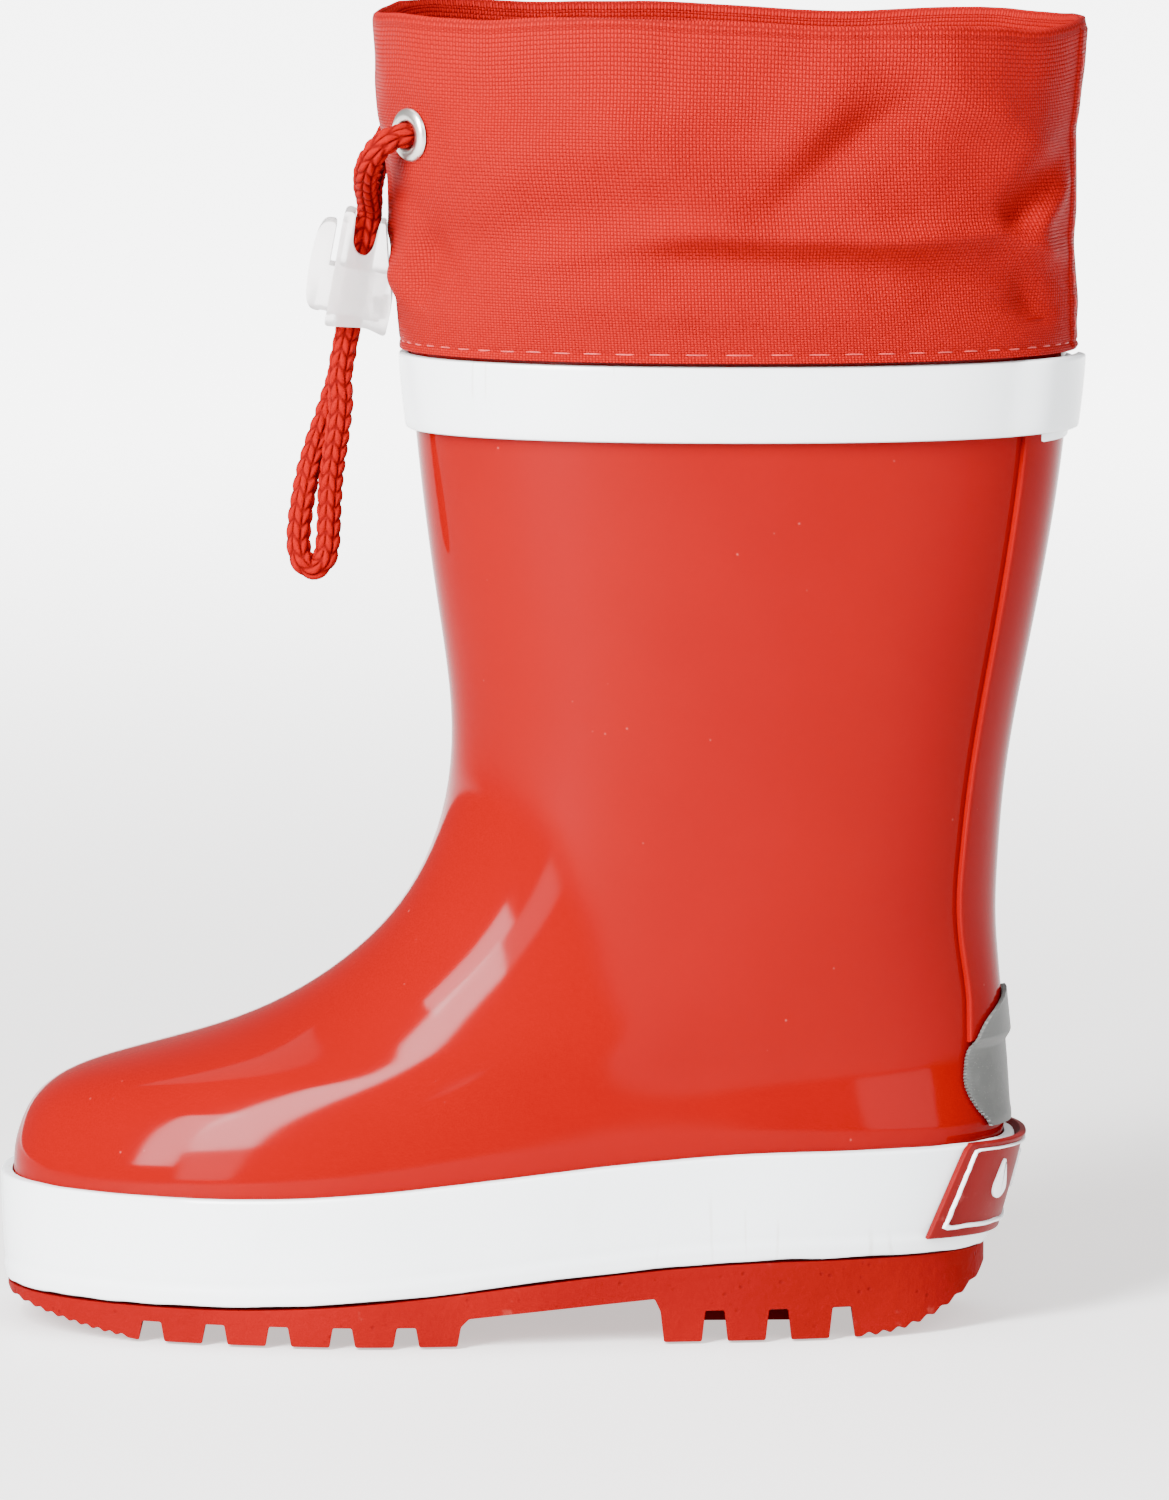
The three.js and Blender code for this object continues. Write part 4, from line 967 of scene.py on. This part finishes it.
def make_reflector():
    def place(u, v):
        level = mix(PATCH_BOTTOM, PATCH_TOP + 0.1, (v + 1) / 2)
        half = curve_through(PATCH_EDGE, (v + 1) * 4)[0]
        knurl = 0.004 * math.sin(v * KNURL) * ease(abs(u), 0.85, 1)
        return level, u * (half + knurl)

    def outer(u, v):
        rim = 0.16 * ease(abs(u), 0.9, 1) * (0.6 + 0.4 * math.sin(v * KNURL))
        over_stay = 1.1 * ease(v, 0.3, 0.48)
        return 1.15 + over_stay + rim
    bm = patch(BOOT, 24, 150, place, lambda u, v: outer(u, v) - 0.75, outer, 0.2, 2)
    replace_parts(finish_mesh("reflector", bm, TAPE), "reflective_patch")


LABEL_BOTTOM, LABEL_TOP = 0.16, 1.06
LABEL_INNER = FOXING_OUTER + 0.25
LABEL_FACE = LABEL_INNER + 1.15


def label_place(u, v):
    level = mix(LABEL_BOTTOM, LABEL_TOP, (v + 1) / 2)
    return level, u * (0.6 - 0.1 * (level - LABEL_BOTTOM))


def label_curl(v):
    return 0.55 * ease(v, 0.72, 1.0)


def make_label():
    bm = patch(BOOT, 56, 26, label_place, lambda u, v: LABEL_INNER + 0.9 * label_curl(v),
               lambda u, v: LABEL_FACE + label_curl(v), 0.3)
    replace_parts(finish_mesh("label", bm, LABEL_RED), "heel_label")

    corners = [(-1, -1), (1, -1), (1, 1), (-1, 1)]
    line = []
    for (u0, v0), (u1, v1) in zip(corners, corners[1:] + corners[:1]):
        line += [(mix(u0, u1, t), mix(v0, v1, t)) for t in spaced(0.02, 0.98, 26)]
    section = [(0, -0.5), (0.1, 0.35), (0.35, 0.55), (0.65, 0.55), (0.9, 0.35), (1, -0.5)]

    def place(share, item):
        inset, height = item
        u, v = line[round(share * len(line)) % len(line)]
        wobble = 0.012 * noise.noise(Vector((u * 6, v * 6, 1)))
        shrink = 0.1 + 0.05 * inset + wobble
        u, v = u * (1 - shrink * 0.7), v * (1 - shrink * 1.7)
        return BOOT.at(*label_place(u, v), LABEL_FACE + label_curl(v) + height)
    frame_line = sweep(section, len(line), place, True)
    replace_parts(finish_mesh("label_border", frame_line, WHITE), "label_frame")

    middle = (LABEL_BOTTOM + LABEL_TOP) / 2
    for side, share in (("left", -1), ("middle", 0), ("right", 1)):
        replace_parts(make_drop(side, middle, share * 0.27), f"label_drop_{side}")


def make_drop(side, level, angle):
    """A raised rain drop: a round base drawn up to a point, with a domed top."""
    bm = bmesh.new()
    bmesh.ops.create_circle(bm, segments=40, radius=1, cap_ends=True)
    for vert in bm.verts:
        point = 0.5 * (1 + math.cos(math.atan2(vert.co.x, vert.co.y)))
        vert.co.x *= 2.3 * (1 - 0.42 * point ** 2)
        vert.co.y = vert.co.y * 2.3 + 2.6 * point ** 5 - 0.9
    base = bm.faces[:]
    bmesh.ops.translate(bm, vec=(0, 0, -0.5), verts=bm.verts)
    grown = bmesh.ops.extrude_face_region(bm, geom=base)["geom"]
    bmesh.ops.translate(bm, vec=(0, 0, 0.85), verts=only_verts(grown))
    top = [g for g in grown if isinstance(g, bmesh.types.BMFace)]
    for depth in (0.13, 0.07):
        bmesh.ops.inset_region(bm, faces=top, thickness=0.28, depth=depth)
    bmesh.ops.scale(bm, vec=(MM, MM, MM), verts=bm.verts)
    bmesh.ops.transform(bm, matrix=BOOT.frame_at(level, angle, LABEL_FACE), verts=bm.verts)
    return finish_mesh(f"drop_{side}", bm, WHITE, 50)


make_stay()
make_reflector()
make_label()

# ---- Outsole ---------------------------------------------------------------------------------------

TOE_TREAD_END = TOE_X + 23.1
CLEAT_PITCH, CLEAT_LENGTH, CLEAT_TAPER = 11.1, 6.6, 0.6
FOREFOOT_GROOVE, HEEL_GROOVE = 3.4, 5.4
HEEL_TREAD_END = BREAST_X + 3 * CLEAT_PITCH
SOLE_OFFSET = 1.8


def cleat(start, groove):
    end = start + CLEAT_LENGTH
    return [(start - CLEAT_TAPER, groove), (start, 0), (end, 0), (end + CLEAT_TAPER, groove)]


def teeth(curve, start, end, count, depth):
    line = []
    for i, x in enumerate(spaced(start, end, count * 2)):
        line.append((x, curve(x) + (depth if i % 2 else 0)))
    return line


def toe_curve(x):
    return 4.9 * clamp((TOE_X + 24 - x) / 24, 0, 1.2) ** 1.4


def heel_curve(x):
    return min(8.5 * clamp((x - HEEL_TREAD_END - 1.2) / (HEEL_X - 5.7 - HEEL_TREAD_END), 0, 2) ** 2.2, HEEL_TOP - 1.8)


def tread_line():
    line = teeth(toe_curve, TOE_X - 4, TOE_TREAD_END - 2, 12, 0.6)
    line += [(TOE_TREAD_END, 0), (TOE_TREAD_END + CLEAT_TAPER, FOREFOOT_GROOVE)]
    forefoot = TOE_TREAD_END + CLEAT_PITCH - CLEAT_LENGTH
    for i in range(5):
        line += cleat(forefoot + i * CLEAT_PITCH, FOREFOOT_GROOVE)
    line += [(forefoot + 4 * CLEAT_PITCH + CLEAT_LENGTH + 2, 4.8), (BREAST_X - CLEAT_TAPER - 1, 7.6)]
    for i in range(3):
        line += cleat(BREAST_X + i * CLEAT_PITCH, HEEL_GROOVE)
    line += [(HEEL_TREAD_END - CLEAT_TAPER, HEEL_GROOVE), (HEEL_TREAD_END, 0)]
    return line + teeth(heel_curve, HEEL_TREAD_END + 1.2, HEEL_X + 8, 13, 0.8)


def soften(line, radius):
    """An open profile with its corners rounded, thick with points at each of them."""
    out = [line[0]]
    for before, here, after in zip(line, line[1:], line[2:]):
        before, corner, after = Vector(before), Vector(here), Vector(after)
        back, ahead = before - corner, after - corner
        cut = min(radius, back.length * 0.4, ahead.length * 0.4)
        start, end = corner + back.normalized() * cut, corner + ahead.normalized() * cut
        out += [tuple(mix(mix(start, corner, t), mix(corner, end, t), t)) for t in (0, 0.33, 0.67, 1)]
    return out + [line[-1]]


def make_outsole():
    outline = [BOOT.at(0, a * TAU / 720, SOLE_OFFSET) / MM for a in range(720)]
    front, back = min(p.x for p in outline), max(p.x for p in outline)

    def edges(x):
        """The outline's two sides at x."""
        found = []
        for p, q in zip(outline, outline[1:] + outline[:1]):
            if (p.x - x) * (q.x - x) <= 0 and p.x != q.x:
                found.append(mix(p.y, q.y, (x - p.x) / (q.x - p.x)))
        return (min(found), max(found)) if found else (0, 0)

    profile = [p for p in soften(tread_line(), 0.35) if front + 0.01 < p[0] < back - 0.01]

    def height(x):
        for (x0, z0), (x1, z1) in zip(profile, profile[1:]):
            if x0 <= x <= x1:
                return mix(z0, z1, (x - x0) / max(1e-9, x1 - x0))
        return profile[0][1] if x < profile[0][0] else profile[-1][1]

    ends = [front + 0.02 + 3.5 * t ** 2 for t in spaced(0, 1, 12)]
    ends += [back - 0.02 - 3.5 * t ** 2 for t in spaced(0, 1, 12)]
    columns = profile + [(x, height(x)) for x in ends] + [(x, height(x)) for x in spaced(front + 4, back - 4, 90)]
    columns = sorted(columns, key=lambda p: p[0])
    across = [-1, -0.985, -0.95, -0.8, -0.5, -0.26, -0.24, 0, 0.24, 0.26, 0.5, 0.8, 0.95, 0.985, 1]

    bm = bmesh.new()
    bmesh.ops.create_grid(bm, x_segments=len(columns) - 1, y_segments=len(across) - 1, size=1)
    for vert in bm.verts:
        i = round((vert.co.x + 1) / 2 * (len(columns) - 1))
        k = round((vert.co.y + 1) / 2 * (len(across) - 1))
        x, z = columns[i]
        left, right = edges(x)
        t = across[k]
        # The edge of the tread is rounded, and a rib joins the heel's cleats along the middle.
        z = min(z + 0.3 * ease(abs(t), 0.95, 1) ** 2, sole_top(x) - 0.6)
        if abs(t) < 0.25 and BREAST_X + 1 < x < BREAST_X + 2 * CLEAT_PITCH + 1:
            z = 0
        vert.co = Vector((x, mix(left, right, (t + 1) / 2), z)) * MM
    grown = bmesh.ops.extrude_face_region(bm, geom=bm.faces[:])["geom"]
    for vert in only_verts(grown):
        vert.co.z = (sole_top(vert.co.x / MM) - 0.02) * MM
    bmesh.ops.remove_doubles(bm, verts=bm.verts, dist=2e-6)
    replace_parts(finish_mesh("tread", bm, OUTSOLE_RED, 28), "outsole")


make_outsole()

# ---- Cuff ------------------------------------------------------------------------------------------

ROUND_CUFF = girth(CUFF, 3)
CUFF_GIRTH = ROUND_CUFF[-1]
CUFF_HEIGHT = CUFF_TOP - CUFF_BASE
CLOTH = 0.45
SEAM = -0.2  # angle of the back seam
FOLD_HEIGHT = 2.0
HEM_STITCHES, THREAD_RADIUS = 62, 0.16

# Creases: angle and height at both ends, width and depth. Heights are above the hem.
CREASES = [
    (NEAR - 0.62, 20.5, NEAR - 0.1, 25.5, 3.2, 0.75), (NEAR - 0.1, 25.5, NEAR + 0.42, 24.3, 2.6, 1.15),
    (NEAR + 0.42, 24.3, NEAR + 0.85, 25.0, 2.2, 0.95), (NEAR + 0.85, 25.0, NEAR + 1.1, 21.5, 2.4, 1.1),
    (NEAR + 1.1, 21.5, NEAR + 1.36, 20.5, 2.6, 0.8),
    (NEAR - 0.35, 45.0, NEAR + 0.02, 26.5, 6.0, 0.9), (NEAR + 0.42, 46.0, NEAR + 0.08, 29.5, 5.0, -1.3),
    (NEAR + 0.3, 50.5, NEAR + 0.1, 33.0, 6.5, 1.0), (NEAR + 0.55, 53.0, NEAR + 1.2, 36.0, 6.0, 1.2),
    (NEAR + 1.2, 36.0, NEAR + 0.88, 25.5, 3.6, -1.25), (NEAR + 1.28, 33.0, NEAR + 1.02, 25.0, 3.0, 0.9),
    (NEAR - 0.75, 33.0, NEAR - 0.1, 44.0, 8.0, 0.6), (NEAR - 0.9, 24.0, NEAR - 0.3, 30.5, 7.0, -0.5),
    (NEAR - 0.2, 22.0, NEAR + 0.9, 17.5, 4.5, -1.0), (NEAR + 0.5, 14.0, NEAR + 1.2, 9.0, 6.0, -0.7),
    (NEAR + 1.0, 16.0, NEAR + 1.15, 4.0, 4.0, -0.7), (NEAR - 0.5, 15.0, NEAR + 0.1, 8.5, 7.0, 0.4),
]


def more_creases():
    """Creases of the same kind round the rest of the cuff."""
    rng = random.Random(7)
    made = []
    for i in range(26):
        angle = rng.uniform(0.15, math.pi - 0.1) if i % 4 else rng.uniform(math.pi - 0.1, NEAR - 0.9)
        low = rng.uniform(12, 30)
        made.append((angle, low, angle + rng.uniform(-0.5, 0.5), low + rng.uniform(6, 22), rng.uniform(3, 7),
                     rng.choice([-1, 1]) * rng.uniform(0.4, 1.1)))
    made += [(a, 25 + rng.uniform(-1.5, 1.5), a + 0.5, 25 + rng.uniform(-1.5, 1.5), 2.6, rng.uniform(0.6, 1.0))
             for a in spaced(0.3, math.pi - 0.6, 4)]
    return made


def flat_creases():
    return [(length_to(ROUND_CUFF, a), h, length_to(ROUND_CUFF, b), k, w, d)
            for a, h, b, k, w, d in CREASES + more_creases()]


FLAT_CREASES = flat_creases()


def folds(along, height):
    """How far the cloth stands out at a place on it, in millimetres."""
    total = 0.0
    for ax, ay, bx, by, width, depth in FLAT_CREASES:
        dx, dy = bx - ax, by - ay
        length = math.hypot(dx, dy)
        t = ((along - ax) * dx + (height - ay) * dy) / (length * length)
        if -0.6 < t < 1.6:
            away = abs((along - ax) * dy - (height - ay) * dx) / length
            if away < width * 2.2:
                fade = ease(t, -0.45, 0.3) * (1 - ease(t, 0.7, 1.45))
                total += depth * fade * (math.sqrt(1 + 7 * math.exp(-((away / (width * 0.8)) ** 1.6))) - 1) / 1.83
    total += 0.45 * noise.noise(Vector((along * 0.035, height * 0.05, 3)))
    total += 0.16 * noise.noise(Vector((along * 0.13, height * 0.16, 9)))
    return total


def cuff_shift(level, angle):
    """The folds, kept small where the cloth is sewn and round the eyelets."""
    height = level / CUFF_LEVEL * CUFF_HEIGHT
    held = ease(level, 0.35, 1.3)
    for side in (-1, 1):
        away = math.hypot((angle % TAU - math.pi - side * EYELET_ANGLE) * 40, (level - EYELET_LEVEL) * 9.4)
        held *= ease(away, 5.2, 12)
    along = length_to(ROUND_CUFF, angle % TAU)
    here = folds(along, height)
    if angle % TAU > TAU - 0.6:
        here = mix(here, folds(0.0, height), ease(angle % TAU, TAU - 0.6, TAU))
    puff = 0.55 * hill(level - 4.1, 1.0) - 0.35 * hill(level - 2.1, 0.5)
    return held * (here * FOLD_HEIGHT + puff)


def seam_step(angle, level):
    """One edge of the cloth laps over the other at the back seam."""
    away = (angle - SEAM + math.pi) % TAU - math.pi
    return 0.5 * ease(away, -0.012, 0.004) * (1 - ease(away, 0.1, 0.22)) * ease(level, 0, 0.1)


def rim_rise(angle):
    return 0.05 * math.sin(3 * angle + 0.6) + 0.035 * math.sin(7 * angle + 2) + 0.02 * noise.noise(
        Vector((math.cos(angle) * 5, math.sin(angle) * 5, 6)))


def inner_depth(level):
    sewn = mix(CUFF_PROUD + 2.8, 2.0, ease(level, 1.2, 2.2))
    plain = mix(sewn, 1.2, ease(level, 5, CUFF_LEVEL))
    return max(plain, mix(plain, 6.3, hill(level - EYELET_LEVEL, 0.75)))


def make_cuff():
    tall = [0, 0.03, 0.08, 0.14, 0.2, 0.26, 0.32, 0.4, *spaced(0.5, 5.8, 62)]

    def hem(level):
        # Sewn down by the stitch line, with the free edge standing a little off.
        return -0.28 * hill(level - 0.2, 0.045) + 0.1 * hill(level - 0.05, 0.05)

    def lift(level, angle):
        return level + rim_rise(angle) * ease(level, 3.5, CUFF_LEVEL)

    section = [("out", level) for level in tall] + [("rim", t) for t in (0.0, 0.25, 0.5, 0.75, 1.0)]
    section += [("in", level) for level in reversed(spaced(0.1, 5.8, 42))]
    section += [("in_back", level) for level in spaced(0.1, 5.75, 24)]
    section += [("out_back", level) for level in reversed([0, 0.2, *spaced(0.4, 5.75, 24)])]

    def place(share, item):
        part, level = item
        angle = share * TAU
        if part == "rim":
            turn = level * math.pi
            middle, half = -0.5 * (inner_depth(CUFF_LEVEL) + CLOTH), 0.5 * (inner_depth(CUFF_LEVEL) + CLOTH)
            offset = middle + half * math.cos(turn) + cuff_shift(5.9, angle)
            return CUFF.at(lift(5.86 + 0.1 * math.sin(turn), angle), angle, offset)
        shift = cuff_shift(level, angle)
        if part == "out":
            offset = shift + hem(level) + seam_step(angle, level)
        elif part == "out_back":
            offset = shift + hem(level) - CLOTH
        elif part == "in":
            offset = shift * ease(level, 1.5, 3) - inner_depth(level) - CLOTH
        else:
            offset = shift * ease(level, 1.5, 3) - inner_depth(level)
        return CUFF.at(lift(level, angle), angle, offset)

    heights = []
    for part, level in section:
        base = CUFF_HEIGHT * (level if part != "rim" else 5.9) / CUFF_LEVEL
        heights.append(base if part in ("out", "out_back") else 2 * CUFF_HEIGHT - base if part != "rim"
                       else CUFF_HEIGHT + level)

    def lay(share, i):
        return (length_to(ROUND_CUFF, share * TAU) * MM, heights[i % len(heights)] * MM)
    bm = sweep(section, 320, place, True, lay)
    cuff = finish_mesh("cuff_cloth", bm, NYLON, 60)
    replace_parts(cuff, "cuff")
    return cuff


def stitches(name, places, cloth_height):
    """Short runs of thread. Each dives into the cloth at both ends."""
    bm = bmesh.new()
    for start, end in places:
        ring = None
        for t in spaced(0, 1, 6):
            level, angle = mix(start[0], end[0], t), mix(start[1], end[1], t)
            sink = 0.42 * (1 - math.sin(math.pi * t) ** 0.5)
            middle = CUFF.at(level, angle, cuff_shift(level, angle) + cloth_height(level, angle) + 0.04 - sink)
            ahead = (CUFF.at(end[0], end[1], 0) - CUFF.at(start[0], start[1], 0)).normalized()
            out = CUFF.normal(level, angle)
            side = ahead.cross(out).normalized()
            turn = Matrix((side, out, ahead)).transposed().to_4x4()
            made = bmesh.ops.create_circle(bm, segments=6, radius=THREAD_RADIUS * MM,
                                           matrix=Matrix.Translation(middle) @ turn)
            loop = list({e for v in made["verts"] for e in v.link_edges})
            if ring:
                bmesh.ops.bridge_loops(bm, edges=ring + loop)
            ring = loop
    bmesh.ops.holes_fill(bm, edges=[e for e in bm.edges if e.is_boundary], sides=0)
    return finish_mesh(name, bm, THREAD, 80)


def make_cuff_sewing():
    rng = random.Random(3)
    hem_places = []
    for i in range(HEM_STITCHES):
        angle = (i + 0.5) * TAU / HEM_STITCHES
        wander = 0.012 * rng.uniform(-1, 1)
        hem_places.append(((0.2 + wander, angle - 0.04), (0.2 + wander * 0.5, angle + 0.036)))
    seam_places = [((level, SEAM + 0.035 + 0.006 * rng.uniform(-1, 1)), (level + 0.36, SEAM + 0.035))
                   for level in spaced(0.45, 5.2, 10)]
    hem = stitches("hem_stitches", hem_places, lambda level, angle: -0.26)
    seam = stitches("seam_stitches", seam_places, lambda level, angle: seam_step(angle, level))
    return [hem, seam]


CUFF_CLOTH = make_cuff()
SEWING = make_cuff_sewing()
CUFF_GIRTH * MM


def make_eyelets():
    bore = CORD / 2 + GAP
    ring = [(bore, 0.4), (bore + 0.05, 0.75), (bore + 0.3, 1.0), (bore + 0.7, 1.1), (3.6, 1.05), (4.2, 0.8),
            (4.55, 0.45), (4.65, 0.1), (4.45, -0.05), (bore + 0.55, -0.05), (bore + 0.55, -2.2), (3.7, -2.2),
            (3.7, -2.7), (bore, -2.7)]
    for side, angle in (("near", math.pi + EYELET_ANGLE), ("far", math.pi - EYELET_ANGLE)):
        bm = turned(ring, 64, CUFF.frame_at(EYELET_LEVEL, angle, 0.0))
        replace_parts(finish_mesh(f"eyelet_ring_{side}", bm, NICKEL, 50), f"eyelet_{side}")


make_eyelets()

# ---- CAD pieces that stay --------------------------------------------------------------------------

KEPT = {
    "sole_filler": FOAM, "insole_board": BOARD, "insole": FOAM, "toe_puff": BOARD, "heel_counter": BOARD,
    "eyelet_washer_near": NICKEL, "eyelet_washer_far": NICKEL, "drawcord_tunnel": BRAID,
}
for node, material in KEPT.items():
    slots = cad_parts[node].material_slots
    for slot in slots:
        slot.link = "OBJECT"
        slot.material = material
    if not slots:
        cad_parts[node].data.materials.append(material)

# ---- Floor and light -------------------------------------------------------------------------------

FLOOR_GLOW, SKY_FILL = 6.0, 0.5


def make_floor():
    bm = bmesh.new()
    bmesh.ops.create_grid(bm, x_segments=1, y_segments=1, size=12)
    bmesh.ops.translate(bm, vec=(0, 4, -0.0002), verts=bm.verts)
    mesh = bpy.data.meshes.new("floor")
    bm.to_mesh(mesh)
    bm.free()
    f = Finish("floor", Roughness=0.6, Specular_IOR_Level=0.3)
    _, depth, _ = f.split(f.place())
    # Painted light: the floor glows, dim at the boot and in front of it, brightening to full farther back.
    f.feed(Base_Color=f.blend(f.noise(2), (0.62, 0.62, 0.62), (0.6, 0.6, 0.605)),
           Emission_Color=f.blend(depth.cut(0.1, 1.8), (0.15, 0.14, 0.136), (1, 1, 1)), Emission_Strength=FLOOR_GLOW)
    mesh.materials.append(f.material)
    floor = bpy.data.objects.new("floor", mesh)
    bpy.context.scene.collection.objects.link(floor)


def softbox(name, at, aim, size, power):
    data = bpy.data.lights.new(name, "AREA")
    data.shape, data.size, data.size_y = "RECTANGLE", *size
    data.energy = power
    light = bpy.data.objects.new(name, data)
    light.location = at
    light.rotation_euler = (Vector(aim) - Vector(at)).to_track_quat("-Z", "Y").to_euler()
    bpy.context.scene.collection.objects.link(light)


def make_light():
    world = bpy.data.worlds.new("studio")
    world.use_nodes = True
    sky = world.node_tree.nodes["Background"]
    sky.inputs["Color"].default_value = (1, 1, 1, 1)
    # Seen straight, the sky is as bright as the far floor; as a light it is only a low fill.
    sight = world.node_tree.nodes.new("ShaderNodeLightPath")
    brightness = world.node_tree.nodes.new("ShaderNodeMath")
    brightness.operation = "MULTIPLY_ADD"
    world.node_tree.links.new(sight.outputs["Is Camera Ray"], brightness.inputs[0])
    brightness.inputs[1].default_value = FLOOR_GLOW - SKY_FILL
    brightness.inputs[2].default_value = SKY_FILL
    world.node_tree.links.new(brightness.outputs[0], sky.inputs["Strength"])
    bpy.context.scene.world = world
    softbox("key_box", (-1.3, -1.3, 0.95), (-0.02, 0, 0.08), (0.32, 1.05), 62)
    softbox("instep_panel", (-0.56, -0.8, 0.79), (0, 0, 0.1), (0.24, 0.92), 50)
    softbox("left_panel", (-0.56, -0.8, 0.62), (0, 0, 0.12), (0.2, 1.24), 9)
    softbox("right_panel", (0.85, -0.85, 0.62), (0.03, 0, 0.12), (0.6, 1.24), 12)
    softbox("fill_box", (0.5, -2.1, 1.7), (0, 0, 0.1), (1.4, 1.0), 26)
    softbox("top_box", (-0.1, 0.25, 1.6), (0, 0, 0), (1.2, 1.2), 16)


make_floor()
make_light()
